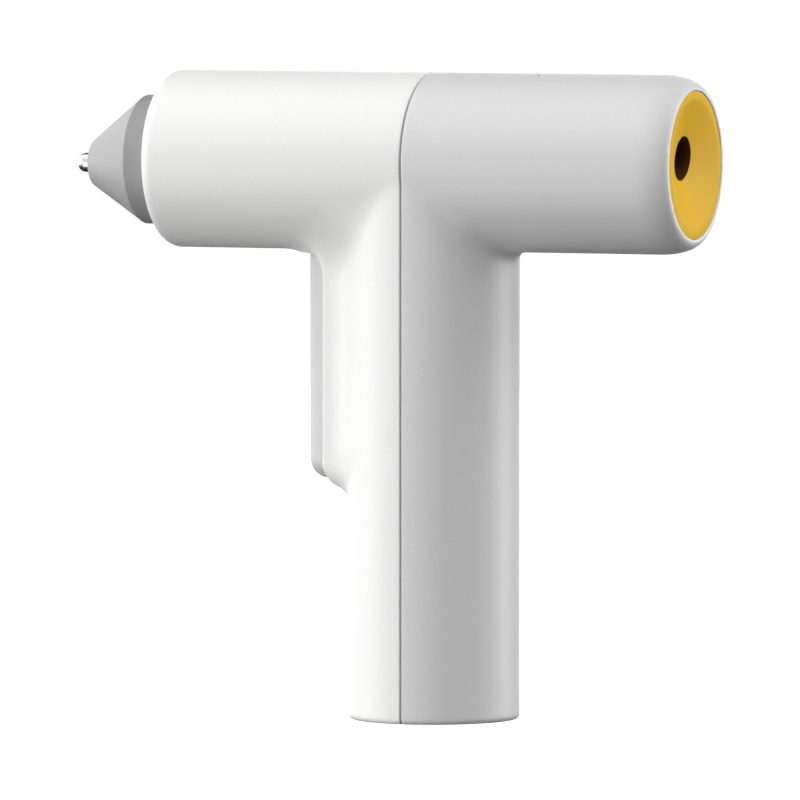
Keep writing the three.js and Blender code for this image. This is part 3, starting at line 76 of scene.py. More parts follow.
FRONT_LOW, FRONT_HIGH = box_mm("front_shell")
REAR_LOW, REAR_HIGH = box_mm("rear_shell")
CAP_LOW, CAP_HIGH = box_mm("base_cap")
RING_LOW, RING_HIGH = box_mm("nose_ring")
CONE_LOW, CONE_HIGH = box_mm("nose_cone")
NOZZLE_LOW, NOZZLE_HIGH = box_mm("nozzle")
FUNNEL_LOW, FUNNEL_HIGH = box_mm("stick_funnel")
TRIGGER_LOW, TRIGGER_HIGH = box_mm("trigger")
BUTTON_LOW, BUTTON_HIGH = box_mm("power_button")
USB_LOW, USB_HIGH = box_mm("usb_port")

INSIDE_BOX = 0.02  # fine surfaces stay this far inside the frame's outline
BARREL_RADIUS = (FRONT_HIGH[1] - FRONT_LOW[1]) / 2 - INSIDE_BOX
AXIS_Z = FRONT_HIGH[2] - BARREL_RADIUS - INSIDE_BOX
BARREL_FRONT = FRONT_LOW[0] + INSIDE_BOX
BARREL_REAR = REAR_HIGH[0] - INSIDE_BOX
WALL_AND_PLAY = 2.5  # from the handle's outside to the base cap's edge
HANDLE_HALF_LENGTH = CAP_HIGH[0] + WALL_AND_PLAY
HANDLE_HALF_WIDTH = CAP_HIGH[1] + WALL_AND_PLAY
SEAM_GAP = 0.4
SEAM_X = FRONT_HIGH[0] + SEAM_GAP / 2
JAW_LINE = next(j for j in frame["joints"] if j["name"] == "carriage_slide")["axis"]
GLUE_SLOPE = JAW_LINE[2] / JAW_LINE[0]
GLUE_RISE = 0.33  # glue line above the barrel's axis at X = 0
# Painted highlight: radius and depth of the rear shell's end face round the funnel that is painted pale.
INLET_HIGHLIGHT_RADIUS = 16.3
INLET_HIGHLIGHT_DEPTH = 0.6
HOLE_SHADE_RADIUS = 4.75


def glue_z(x):
    """Height of the glue line at a place along the barrel."""
    return AXIS_Z + GLUE_RISE + GLUE_SLOPE * x


# ------------------------------------------------------------------ settings

def length(name, default, text):
    """A length property, given in millimetres and kept in metres."""
    return bpy.props.FloatProperty(name=name, default=default * MM, description=text, min=0,
                                   precision=5, subtype="DISTANCE", unit="LENGTH")


def colour(name, default, text):
    """A colour property."""
    return bpy.props.FloatVectorProperty(
        name=name, default=default, description=text, subtype="COLOR", size=3, min=0, max=1)


class ShellSettings(bpy.types.PropertyGroup):
    """Sizes of the two shells."""

    facet: length("Facet", 0.62, "Size of a face on the shells")
    rear_blend: length("Rear blend", 3.0, "Width of the blend between barrel and handle")
    brow_blend: length("Brow blend", 9.7, "Blend above the trigger")
    pod_blend: length("Pod blend", 5.0, "Blend of the trigger housing into the handle")
    lip: length("Lip", 0.22, "Rounding of the shells' edges")
    wall: length("Wall", 1.8, "Wall thickness")


class NoseSettings(bpy.types.PropertyGroup):
    """Sizes of the nose ring, cone and nozzle."""

    facets: bpy.props.IntProperty(name="Facets", default=144, description="Faces round the nose")
    edge: length("Cone edge", 0.45, "Rounding of the cone's front edge")
    dome: length("Nozzle dome", 1.9, "Length of the nozzle's round end")


class FinishSettings(bpy.types.PropertyGroup):
    """Colours of the outer pieces."""

    white: colour("White", (0.86, 0.86, 0.855), "Front shell")
    grey: colour("Grey", (0.69, 0.69, 0.695), "Rear shell, button and base")
    ring: colour("Ring", (0.31, 0.31, 0.315), "Collar of the nose")
    cone: colour("Cone", (0.42, 0.415, 0.415), "Cone of the nose")
    yellow: colour("Yellow", (0.8, 0.475, 0.012), "Stick funnel")
    # Painted shade: dark brown on the funnel hole's wall, standing in for the shade inside the hole.
    hole: colour("Hole", (0.15, 0.07, 0.02), "Inside of the stick funnel's hole")
    inlet_painted_highlight: colour("Inlet edge", (0.8, 0.86, 1.0), "Edge of the rear shell round the funnel")
    # Painted highlight: pale, cool colour on the rear shell's end face round the funnel, standing in for light
    # from behind.
    trigger: colour("Trigger", (0.6, 0.6, 0.6), "Trigger")


def settings(name):
    """One of the add-on's property groups on the scene."""
    return getattr(bpy.context.scene, name)


def size_mm(group, name):
    """One of the lengths in a property group, in millimetres."""
    return round(getattr(settings(group), name) / MM, 5)


def shell_mm(name):
    """One of the shells' lengths, in millimetres."""
    return size_mm("glue_gun_shell", name)


# ------------------------------------------------------------------ shader maths

class Value:
    """A socket that can be used in an expression. Each operation adds its Math node."""

    def __init__(self, finish, socket):
        self.finish = finish
        self.socket = socket

    def _join(self, operation, first, second):
        return self.finish.node("ShaderNodeMath", {0: first, 1: second}, operation=operation)

    def __add__(self, other):
        return self._join("ADD", self, other)

    def __sub__(self, other):
        return self._join("SUBTRACT", self, other)

    def __rsub__(self, other):
        return self._join("SUBTRACT", other, self)

    def __mul__(self, other):
        return self._join("MULTIPLY", self, other)

    def __pow__(self, other):
        return self._join("POWER", self, other)

    __radd__ = __add__
    __rmul__ = __mul__


class Finish:
    """A node material round one Principled shader."""

    def __init__(self, name, **constants):
        self.material = bpy.data.materials.new(name)
        self.material.use_nodes = True
        self.tree = self.material.node_tree
        self.shader = self.tree.nodes["Principled BSDF"]
        for socket, value in constants.items():
            self.shader.inputs[socket.replace("_", " ")].default_value = value
        self.place = self.node("ShaderNodeTexCoord", output="Object")

    def node(self, kind, inputs=None, output=0, stops=None, **options):
        """Adds a node: its settings first, then its sockets' values or links."""
        made = self.tree.nodes.new(kind)
        for option, value in options.items():
            setattr(made, option, value)
        if stops:
            ramp = made.color_ramp
            for element, (position, shade) in zip(ramp.elements, stops):
                element.position = position
                element.color = (*shade, 1)
            for position, shade in stops[len(ramp.elements):]:
                ramp.elements.new(position).color = (*shade, 1)
        for socket, value in (inputs or {}).items():
            if isinstance(value, Value):
                self.tree.links.new(value.socket, made.inputs[socket])
            else:
                made.inputs[socket].default_value = value
        return Value(self, made.outputs[output])

    def feed(self, socket, value):
        """Links a value to one of the shader's own sockets."""
        self.tree.links.new(value.socket, self.shader.inputs[socket])

    def grain(self, size, detail=2.0, roughness=0.55, stretch=(1, 1, 1)):
        """Noise with grains of a size in millimetres, from 0 to 1."""
        place = self.place
        if stretch != (1, 1, 1):
            place = self.node("ShaderNodeMapping", {"Vector": place, "Scale": stretch})
        return self.node("ShaderNodeTexNoise", {
            "Vector": place, "Scale": 1 / (size * MM), "Detail": detail, "Roughness": roughness})

    def parts_of_place(self):
        """X, Y and Z of the surface point, in metres."""
        split = self.node("ShaderNodeSeparateXYZ", {0: self.place})
        return [Value(self, split.socket.node.outputs[axis]) for axis in range(3)]

    def above(self, high, low):
        """1 where the first is greater than the second, else 0."""
        return self.node("ShaderNodeMath", {0: high, 1: low}, operation="GREATER_THAN")

    def mixed(self, factor, first, second):
        """Colour between two colours."""
        wide = [value if isinstance(value, Value) else (*value, 1) for value in (first, second)]
        return self.node("ShaderNodeMix", {0: factor, 6: wide[0], 7: wide[1]}, output=2,
                         data_type="RGBA")

    def bumped(self, height, depth, strength=1.0):
        """Fine relief of a depth in millimetres."""
        self.feed("Normal", self.node("ShaderNodeBump", {
            "Height": height, "Strength": strength, "Distance": depth * MM}))


def shade(base, factor):
    """A colour made lighter or darker."""
    return tuple(min(channel * factor, 1) for channel in base)


def plastic_tone(finish, base, roughness, grain_size=0.32, relief=0.02, speckle=0.1):
    """Colour of moulded plastic with a fine spark-eroded texture, whose relief it also sets."""
    grain = finish.grain(grain_size, 3)
    patches = finish.grain(14, 2)
    tone = finish.mixed(grain, shade(base, 1 - speckle), shade(base, 1 + speckle))
    finish.feed("Roughness", roughness - 0.04 + grain * 0.08)
    finish.bumped(grain + finish.grain(grain_size * 2.6, 2) * 0.6, relief)
    return finish.mixed(patches * 0.5, tone, shade(base, 0.985))


def moulded_plastic(name, base, roughness, grain_size=0.32, relief=0.02, speckle=0.1):
    """Moulded plastic with a fine texture all over."""
    finish = Finish(name, Specular_IOR_Level=0.45)
    finish.feed("Base Color",
                plastic_tone(finish, base, roughness, grain_size, relief, speckle))
    return finish.material


def rear_plastic(base, edge):
    """Grey plastic with a painted highlight: its flat end face round the stick funnel gets the pale, cool edge
    colour, standing in for light from behind falling on that face.
    """
    finish = Finish("rear_shell_plastic_painted_highlight", Specular_IOR_Level=0.45)
    x, y, z = finish.parts_of_place()
    up = z - AXIS_Z * MM
    from_axis = (y * y + up * up) ** 0.5
    # Painted highlight: the flat end face round the funnel takes the pale edge colour.
    inside = finish.above(INLET_HIGHLIGHT_RADIUS * MM, from_axis)
    behind = finish.above(x, (BARREL_REAR - INLET_HIGHLIGHT_DEPTH) * MM)
    finish.feed("Base Color",
                finish.mixed(inside * behind, plastic_tone(finish, base, 0.44), edge))
    return finish.material


def inlet_plastic(base, hole):
    """Yellow plastic with painted shade: much darker inside the hole for the stick, where shade falls."""
    finish = Finish("yellow_plastic", Specular_IOR_Level=0.12)
    x, y, z = finish.parts_of_place()
    up = z - (x * GLUE_SLOPE + (AXIS_Z + GLUE_RISE) * MM)
    from_glue = (y * y + up * up) ** 0.5
    # Painted shade: the hole's wall within this radius of the glue line gets the dark hole colour.
    inside = finish.above(HOLE_SHADE_RADIUS * MM, from_glue)
    tone = plastic_tone(finish, base, 0.5, 0.5, 0.01, 0.05)
    finish.feed("Base Color", finish.mixed(inside, tone, hole))
    return finish.material


def polished_metal(name, base, roughness, marks=0.25):
    """Turned metal with fine marks round the X axis."""
    finish = Finish(name, Metallic=1.0)
    rings = finish.grain(marks, 2, 0.6, stretch=(1, 0.05, 0.05))
    finish.feed("Base Color", finish.mixed(rings, shade(base, 0.9), shade(base, 1.05)))
    finish.feed("Roughness", roughness - 0.03 + rings * 0.08)
    finish.bumped(rings, 0.002, 0.4)
    return finish.material


def plain_metal(name, base, roughness):
    """Stamped or drawn metal with fine scratches."""
    finish = Finish(name, Metallic=1.0)
    scratches = finish.grain(0.5, 4, 0.7, stretch=(1, 8, 8))
    finish.feed("Base Color", finish.mixed(scratches, shade(base, 0.85), base))
    finish.feed("Roughness", roughness + scratches * 0.15)
    finish.bumped(scratches, 0.004, 0.5)
    return finish.material


def fired_ceramic(name, base):
    """Matt ceramic with pale and dark specks."""
    finish = Finish(name)
    specks = finish.grain(0.4, 4, 0.7)
    finish.feed("Base Color", finish.mixed(specks, shade(base, 0.85), shade(base, 1.1)))
    finish.feed("Roughness", 0.65 + specks * 0.2)
    finish.bumped(specks, 0.01)
    return finish.material


def mica_sheet(name, base):
    """Pressed mica with flakes."""
    finish = Finish(name)
    flakes = finish.node("ShaderNodeTexVoronoi", {"Vector": finish.place, "Scale": 900.0})
    finish.feed("Base Color", finish.mixed(flakes, shade(base, 0.7), shade(base, 1.3)))
    finish.feed("Roughness", 0.35 + flakes * 0.3)
    finish.bumped(flakes, 0.01, 0.6)
    return finish.material


def circuit_board(name, base):
    """Solder mask over copper tracks."""
    finish = Finish(name)
    tracks = finish.node("ShaderNodeTexWave", {"Vector": finish.place, "Scale": 260.0,
                                               "Distortion": 3.0}, bands_direction="Z")
    edges = finish.node("ShaderNodeValToRGB", {"Fac": tracks}, stops=[
        (0.45, shade(base, 0.8)), (0.55, shade(base, 1.7))])
    finish.feed("Base Color", edges)
    finish.feed("Roughness", 0.3 + finish.grain(0.5) * 0.1)
    finish.bumped(tracks, 0.01, 0.5)
    return finish.material


def soft_rubber(name, base, roughness=0.6):
    """Silicone or wire insulation with a dusty bloom."""
    finish = Finish(name)
    dust = finish.grain(1.2, 4, 0.6)
    finish.feed("Base Color", finish.mixed(dust, shade(base, 0.85), shade(base, 1.15)))
    finish.feed("Roughness", roughness + dust * 0.15)
    finish.bumped(finish.grain(0.2, 2), 0.006)
    return finish.material


@functools.lru_cache(maxsize=None)
def outer_finish(name):
    """Material of an outer piece by its slot or its own name."""
    tones = settings("glue_gun_finish")
    makers = {
        "white_shell": lambda: moulded_plastic("white_shell", tuple(tones.white), 0.44),
        "trigger": lambda: moulded_plastic("trigger_plastic", tuple(tones.trigger), 0.5),
        "grey_shell": lambda: moulded_plastic("grey_shell", tuple(tones.grey), 0.44),
        "rear_shell": lambda: rear_plastic(tuple(tones.grey), tuple(tones.inlet_painted_highlight)),
        "nose_ring": lambda: moulded_plastic("nose_ring", tuple(tones.ring), 0.5, 0.4),
        "nose_cone": lambda: moulded_plastic("nose_cone", tuple(tones.cone), 0.46, 0.3),
        "yellow_plastic": lambda: inlet_plastic(tuple(tones.yellow), tuple(tones.hole)),
        "chrome": lambda: polished_metal("chrome", (0.85, 0.85, 0.86), 0.27),
    }
    return makers[name]()


# ------------------------------------------------------------------ fields of the body

def length_of(*parts):
    """Length of vectors given by their parts."""
    return np.sqrt(sum(part * part for part in parts))


def rounded_corner(first, second, radius):
    """Intersection of two fields whose outer corner has a radius."""
    a = np.maximum(first + radius, 0)
    b = np.maximum(second + radius, 0)
    return length_of(a, b) + np.minimum(np.maximum(first, second) + radius, 0) - radius


def blended(first, second, width):
    """Union of two fields with a soft blend of a width in the corner between them."""
    share = np.maximum(width - np.abs(first - second), 0) / width
    return np.minimum(first, second) - share * share * width / 4


def eased(value, start, end):
    """Smooth step from 0 at start to 1 at end."""
    t = np.clip((value - start) / (end - start), 0, 1)
    return t * t * (3 - 2 * t)


FRONT_ROUNDING = 2.8
REAR_ROUNDING = np.array([7.4, 2.7])  # along the barrel and across it
BASE_ROUNDING = 1.1
POD_HALF_WIDTH = 8.0
POD_FRONT = -24.9
POD_NOSE_RADIUS = 14.5
POD_UNDERHANG = 2.2
POD_CHIN = (-19.2, 48.7)  # a point of the sloping underside, along the barrel and up
POD_CHIN_SLOPE = math.radians(19)
POD_CHIN_ROUNDING = 4.8
POD_EDGE_ROUNDING = 0.35
POD_LOW_BLEND = (3, 50, 57)  # blend's width at the housing's lower end, and heights it grows over
BROW_SIDES = (0.24, 3.5, 7)  # share the brow's blend loses at its sides, and over which widths
BROW_UNDERSIDE = TRIGGER_HIGH[2] + 0.3


def barrel_field(p):
    """Barrel with a rounded front edge and a longer, oval rounding behind."""
    radial = length_of(p[:, 1], p[:, 2] - AXIS_Z) - BARREL_RADIUS
    front = rounded_corner(radial, BARREL_FRONT - p[:, 0], FRONT_ROUNDING)
    along, across = REAR_ROUNDING
    u = np.maximum((p[:, 0] - BARREL_REAR + along) / along, 0)
    w = np.maximum((radial + across) / across, 0)
    rear = np.where(u > 0, (length_of(u, w) - 1) * across, radial)
    return np.maximum(front, rear)


def handle_field(p):
    """Oval handle with a rounded base edge."""
    x = p[:, 0] / HANDLE_HALF_LENGTH
    y = p[:, 1] / HANDLE_HALF_WIDTH
    size = length_of(x, y) + 1e-9
    slope = length_of(x / HANDLE_HALF_LENGTH, y / HANDLE_HALF_WIDTH) + 1e-9
    oval = size * (size - 1) / slope
    below = rounded_corner(oval, INSIDE_BOX - p[:, 2], BASE_ROUNDING)
    return np.maximum(below, p[:, 2] - AXIS_Z)


def pod_field(p):
    """Trigger housing: flat sides, a shallow nose and a rounded lower end."""
    nose_centre = POD_FRONT + POD_NOSE_RADIUS
    nose = length_of(p[:, 0] - nose_centre, p[:, 1]) - POD_NOSE_RADIUS
    nose = np.where(p[:, 0] > nose_centre, p[:, 0], np.maximum(nose, p[:, 0]))
    column = rounded_corner(nose, np.abs(p[:, 1]) - POD_HALF_WIDTH, POD_EDGE_ROUNDING)
    chin = ((POD_CHIN[0] - p[:, 0]) * math.sin(POD_CHIN_SLOPE)
            + (POD_CHIN[1] - p[:, 2]) * math.cos(POD_CHIN_SLOPE))
    return rounded_corner(column, chin, POD_CHIN_ROUNDING)


def likeness(p):
    """How nearly barrel and handle face the same way at points, up to 1."""
    across = p[:, 1] / (length_of(p[:, 1], p[:, 2] - AXIS_Z) + 1e-9)
    slant = p[:, 1] / HANDLE_HALF_WIDTH ** 2
    facing = slant / (length_of(slant, p[:, 0] / HANDLE_HALF_LENGTH ** 2) + 1e-9)
    return np.abs(across * facing)


def body_field(p):
    """Whole body: barrel, handle and trigger housing, blended into one another."""
    low_blend, low, high = POD_LOW_BLEND
    pod_width = low_blend + (shell_mm("pod_blend") - low_blend) * eased(p[:, 2], low, high)
    grip = blended(handle_field(p), np.maximum(pod_field(p), p[:, 2] - AXIS_Z), pod_width)
    forward = eased(-p[:, 0], 6, 20)
    width = shell_mm("rear_blend") + (shell_mm("brow_blend") - shell_mm("rear_blend")) * forward
    less, near, far = BROW_SIDES
    width = width * (1 - less * forward * eased(np.abs(p[:, 1]), near, far))
    corner = np.clip((1 - likeness(p)) * 2.2, 0.004, 1)
    return blended(barrel_field(p), grip, width * corner)


def oval_field(p, half_length, half_width):
    """Distance outside an upright oval, near its edge."""
    return (length_of(p[:, 0] / half_length, p[:, 1] / half_width) - 1) * half_width


def rounded_rectangle(a, b, half_a, half_b, corner):
    """Distance outside a rectangle with round corners."""
    over_a = np.abs(a) - half_a + corner
    over_b = np.abs(b) - half_b + corner
    outside = length_of(np.maximum(over_a, 0), np.maximum(over_b, 0))
    return outside + np.minimum(np.maximum(over_a, over_b), 0) - corner


def slope_of(field, p, step=0.01):
    """Gradient of a field at points."""
    columns = []
    for axis in range(3):
        shift = np.zeros(3)
        shift[axis] = step
        columns.append((field(p + shift) - field(p - shift)) / (2 * step))
    return np.stack(columns, 1)


def unit(vectors):
    """Vectors of length one."""
    return vectors / (np.linalg.norm(vectors, axis=1, keepdims=True) + 1e-12)


def settled(p, field, rounds=3):
    """Points moved onto the surface of a field."""
    for _ in range(rounds):
        slope = slope_of(field, p)
        step = field(p) / ((slope ** 2).sum(1) + 1e-9)
        p = p - np.clip(step, -1, 1)[:, None] * slope
    return p


# ------------------------------------------------------------------ mesh by hand

def deselect():
    """Nothing selected and no active object left over."""
    if bpy.context.object and bpy.context.object.mode != "OBJECT":
        bpy.ops.object.mode_set(mode="OBJECT")
    bpy.ops.object.select_all(action="DESELECT")


def pick(piece):
    """Makes one object the only selected one."""
    deselect()
    piece.select_set(True)
    bpy.context.view_layer.objects.active = piece
    return piece


def apply_modifier(piece, kind, **options):
    """Adds a modifier to a piece and applies it."""
    pick(piece)
    modifier = piece.modifiers.new(kind.lower(), kind)
    for option, value in options.items():
        setattr(modifier, option, value)
    bpy.ops.object.modifier_apply(modifier=modifier.name)
    return piece


def at_origin(piece):
    """Puts a piece's place into its mesh."""
    pick(piece)
    bpy.ops.object.transform_apply(location=True, rotation=True, scale=True)
    return piece


def bar(axis, radius, start, end, centre=(0, 0), scale=(1, 1), sides=96):
    """Round or oval bar between two places on an axis, from a cylinder."""
    turn = {"x": (0, math.pi / 2, 0), "y": (math.pi / 2, 0, 0), "z": (0, 0, 0)}[axis]
    middle = (start + end) / 2
    place = {
        "x": (middle, centre[0], centre[1]),
        "y": (centre[0], middle, centre[1]),
        "z": (centre[0], centre[1], middle),
    }[axis]
    deselect()
    bpy.ops.mesh.primitive_cylinder_add(
        vertices=sides, radius=radius * MM, depth=(end - start) * MM,
        location=Vector(place) * MM, rotation=turn, scale=(*scale, 1))
    return at_origin(bpy.context.object)


def slab(low, high):
    """Box between two corners, from a cube."""
    low, high = Vector(low), Vector(high)
    deselect()
    bpy.ops.mesh.primitive_cube_add(size=1, location=(low + high) / 2 * MM,
                                    scale=(high - low) * MM)
    return at_origin(bpy.context.object)


def combined(piece, other, operation):
    """Joins another solid to a piece, or cuts it out, and removes the other."""
    apply_modifier(piece, "BOOLEAN", object=other, operation=operation, solver="EXACT")
    bpy.data.objects.remove(other)
    return piece


def remeshed(piece, facet):
    """Even faces of a size all over a piece."""
    return apply_modifier(piece, "REMESH", mode="VOXEL", voxel_size=facet * MM)


def named(piece, name, node, slot, body=HOUSING, angle=35, finish=None):
    """Finishes a piece: name, shading, material, and its place in the frame."""
    pick(piece)
    piece.name = name
    piece.data.name = name
    bpy.ops.object.shade_smooth_by_angle(angle=math.radians(angle))
    piece.data.materials.clear()
    piece.data.materials.append(outer_finish(finish or slot))
    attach(piece, body)
    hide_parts(node)
    return piece


def mesh_arrays(piece):
    """Points in millimetres and triangles of a mesh."""
    apply_modifier(piece, "TRIANGULATE")
    mesh = piece.data
    points = np.empty(len(mesh.vertices) * 3)
    mesh.vertices.foreach_get("co", points)
    triangles = np.empty(len(mesh.polygons) * 3, dtype=np.int64)
    mesh.loops.foreach_get("vertex_index", triangles)
    return points.reshape(-1, 3) / MM, triangles.reshape(-1, 3)


def edges_of(triangles):
    """Each edge of a set of triangles once, as sorted pairs."""
    pairs = np.concatenate([triangles[:, [0, 1]], triangles[:, [1, 2]], triangles[:, [2, 0]]])
    return np.unique(np.sort(pairs, axis=1), axis=0)


def relaxed(p, triangles, field, rounds=8):
    """Evens out the spacing of points on a field's surface."""
    edges = edges_of(triangles)
    ends = np.concatenate([edges, edges[:, ::-1]])
    count = np.bincount(ends[:, 0], minlength=len(p))[:, None]
    for _ in range(rounds):
        total = np.stack([
            np.bincount(ends[:, 0], weights=p[ends[:, 1], axis], minlength=len(p))
            for axis in range(3)], 1)
        p = settled(p + 0.6 * (total / count - p), field, 1)
    return settled(p, field)


class Opening:
    """An edge cut into a skin: what is cut away, the lip's rounding and the way of its wall."""

    def __init__(self, outside, lip, wall=None, depth=0):
        self.outside = outside
        self.lip = lip
        self.wall = wall
        self.depth = depth

    def beyond(self, p):
        """Positive where the skin is cut away, with room left for the lip."""
        return self.outside(p) + self.lip


def trimmed(p, triangles, opening, field):
    """Cuts a skin along an opening, with its points slid onto the edge."""
    value = opening.beyond(p)
    edges = edges_of(triangles)
    crossing = edges[value[edges[:, 0]] * value[edges[:, 1]] < 0]
    nearer = np.abs(value[crossing]).argmin(1)
    moved = np.unique(crossing[np.arange(len(crossing)), nearer])
    place = p[moved]
    for _ in range(6):
        place = settled(place, opening.beyond, 1)
        place = settled(place, field, 1)
    p = p.copy()
    p[moved] = place
    value[moved] = 0
    corners = value[triangles]
    middle = opening.beyond(p[triangles].mean(1))
    kept = (corners.max(1) <= 0) & ((corners.min(1) < 0) | (middle < 0))
    triangles = triangles[kept]
    used, compact = np.unique(triangles, return_inverse=True)
    return p[used], compact.reshape(-1, 3)


def rim_edges(triangles):
    """Edges with one triangle only, in that triangle's direction."""
    pairs = np.concatenate([triangles[:, [0, 1]], triangles[:, [1, 2]], triangles[:, [2, 0]]])
    keys = np.sort(pairs, axis=1)
    _, first, count = np.unique(keys, axis=0, return_index=True, return_counts=True)
    return pairs[first[count == 1]]


def shell_from_skin(p, triangles, openings, field, thickness, lip_steps=3):
    """Closed shell: skin, rounded lips at its openings, walls, and an inner skin."""
    normal = unit(slope_of(field, p))
    depth = thickness(p)
    inner = p - normal * depth[:, None]
    rim = rim_edges(triangles)
    ids = np.unique(rim)
    at, out = p[ids], np.zeros((len(ids), 3))
    wall = -normal[ids]
    reach = np.full(len(ids), 0.0)
    lip = np.full(len(ids), 0.0)
    for opening in openings:
        on_edge = np.abs(opening.beyond(at)) < 0.03
        away = slope_of(opening.beyond, at)
        away -= (away * normal[ids]).sum(1, keepdims=True) * normal[ids]
        out += np.where(on_edge[:, None], unit(away), 0)
        lip = np.where(on_edge, opening.lip, lip)
        if opening.wall is not None:
            wall = np.where(on_edge[:, None], np.array(opening.wall), wall)
            reach = np.where(on_edge, opening.depth, reach)
    out = unit(out)
    rings = []
    for step in range(1, lip_steps + 1):
        turn = math.pi / 2 * step / lip_steps
        rings.append(at + lip[:, None] * (out * math.sin(turn) + wall * (1 - math.cos(turn))))
    rest = np.where(reach > 0, reach, np.maximum(depth[ids] - lip, 0))
    rings.append(rings[-1] + wall * rest[:, None])
    points = [p, inner, *rings]
    local = np.searchsorted(ids, rim)
    starts = [2 * len(p) + ring * len(ids) for ring in range(len(rings))]
    layers = [rim, *[local + start for start in starts], rim + len(p)]
    faces = [*triangles.tolist(), *(triangles[:, ::-1] + len(p)).tolist()]
    for near, far in zip(layers, layers[1:]):
        faces += np.stack([near[:, 1], near[:, 0], far[:, 0], far[:, 1]], 1).tolist()
    return np.concatenate(points), faces


def object_from(name, points, faces):
    """New object from points in millimetres and faces."""
    mesh = bpy.data.meshes.new(name)
    mesh.from_pydata((points * MM).tolist(), [], faces)
    mesh.validate()
    made = bpy.data.objects.new(name, mesh)
    bpy.context.collection.objects.link(made)
    return made


def joined(first, second):
    """Two objects as one."""
    deselect()
    second.select_set(True)
    first.select_set(True)
    bpy.context.view_layer.objects.active = first
    bpy.ops.object.join()
    return first


# ------------------------------------------------------------------ shells

BUTTON_HOLE_RADIUS = 6.2
BUTTON_RADIUS = 5.98
NOSE_RADIUS = 13.85
NOSE_DROP = 0.28  # nose's centre below the barrel's axis
FUNNEL_RADIUS = FUNNEL_HIGH[1]
TRIGGER_HALF_WIDTH = 7.4
TRIGGER_PLAY = 0.3  # between the trigger's sides and its housing
TRIGGER_BACK = -12  # where the trigger's outer bar ends
OPENING_CORNERS = (3.0, 5.3)  # of the trigger's hole, above and below
TRIGGER_CORNERS = (2.7, 5.0)  # of the trigger itself
LIP_OFFSET = 2.0  # seam lip below the outer skin
LIP_THICKNESS = 0.9
THIN_WALL = 0.5  # in the trigger housing and at the rear lip
BASE_WALL = 0.8
CAP_PLAY = 0.3
NOSE_PLAY = 0.12
FUNNEL_PLAY = 0.05
FUNNEL_EDGE = 0.16  # rounding of the funnel's outer edge and of the shell's edge round it


@functools.lru_cache(maxsize=None)
def body_skin():
    """Skin of the whole body: joined bars, evenly faced, and settled onto the blended form."""
    facet = shell_mm("facet")
    body = bar("x", BARREL_RADIUS, BARREL_FRONT, BARREL_REAR, (0, AXIS_Z), sides=128)
    handle = bar("z", HANDLE_HALF_WIDTH, 0, AXIS_Z, sides=128,
                 scale=(HANDLE_HALF_LENGTH / HANDLE_HALF_WIDTH, 1))
    pod = slab((POD_FRONT, -POD_HALF_WIDTH, TRIGGER_LOW[2] - POD_UNDERHANG),
               (0, POD_HALF_WIDTH, AXIS_Z))
    combined(body, handle, "UNION")
    combined(body, pod, "UNION")
    remeshed(body, facet)
    points, triangles = mesh_arrays(body)
    bpy.data.objects.remove(body)
    points = settled(points, body_field, 6)
    return relaxed(points, triangles, body_field), triangles


def radial(p):
    """Distance from the barrel's axis."""
    return length_of(p[:, 1], p[:, 2] - AXIS_Z)


def shell_wall(p):
    """Wall thickness, thinner in the trigger housing, at the base and at the rear lip."""
    wall = shell_mm("wall")
    pod = eased(-p[:, 0], 17.5, 20) * eased(-(p[:, 2]), -102, -96)
    base = 1 - eased(p[:, 2], 0, 4)
    rear = eased(p[:, 0], 48, 57)
    slimmed = wall - (wall - THIN_WALL) * np.maximum(pod, rear)
    return slimmed - (slimmed - BASE_WALL) * base * (pod < 0.5)


def base_opening(lip):
    """Hole for the base cap."""
    def outside(p):
        hole = oval_field(p, CAP_HIGH[0] + CAP_PLAY, CAP_HIGH[1] + CAP_PLAY)
        return np.where(p[:, 2] < 0.6, -hole, -5.0)
    return Opening(outside, lip)


def trigger_opening(lip):
    """Hole for the trigger through the housing, with a straight way in."""
    half_width = TRIGGER_HALF_WIDTH + TRIGGER_PLAY
    low, high = TRIGGER_LOW[2] - 0.5, BROW_UNDERSIDE

    def outside(p):
        corner = np.where(p[:, 2] > (low + high) / 2, *OPENING_CORNERS)
        hole = rounded_rectangle(p[:, 1], p[:, 2] - (low + high) / 2, half_width,
                                 (high - low) / 2, corner)
        return np.where(p[:, 0] < -16, -hole, -5.0)
    return Opening(outside, lip, wall=(1, 0, 0), depth=9)


def end_opening(radius, lip, sign, place, drop=0.0):
    """Round hole in one end of the barrel."""
    def outside(p):
        from_centre = length_of(p[:, 1], p[:, 2] - AXIS_Z + drop)
        return np.where(sign * (p[:, 0] - place) > 0, radius - from_centre, -5.0)
    return Opening(outside, lip)


def button_opening(lip):
    """Round hole for the power button."""
    centre = (BUTTON_LOW[0] + BUTTON_HIGH[0]) / 2

    def outside(p):
        hole = BUTTON_HOLE_RADIUS - length_of(p[:, 0] - centre, p[:, 1])
        return np.where(p[:, 2] > AXIS_Z, hole, -5.0)
    return Opening(outside, lip)


def seam_opening(lip, sign):
    """Everything past one side of the seam."""
    edge = SEAM_X + sign * SEAM_GAP / 2
    return Opening(lambda p: sign * (edge - p[:, 0]), lip)


def make_shell(openings):
    """Shell of the body's skin between its openings."""
    points, triangles = body_skin()
    for opening in openings:
        points, triangles = trimmed(points, triangles, opening, body_field)
    return shell_from_skin(points, triangles, openings, body_field, shell_wall)


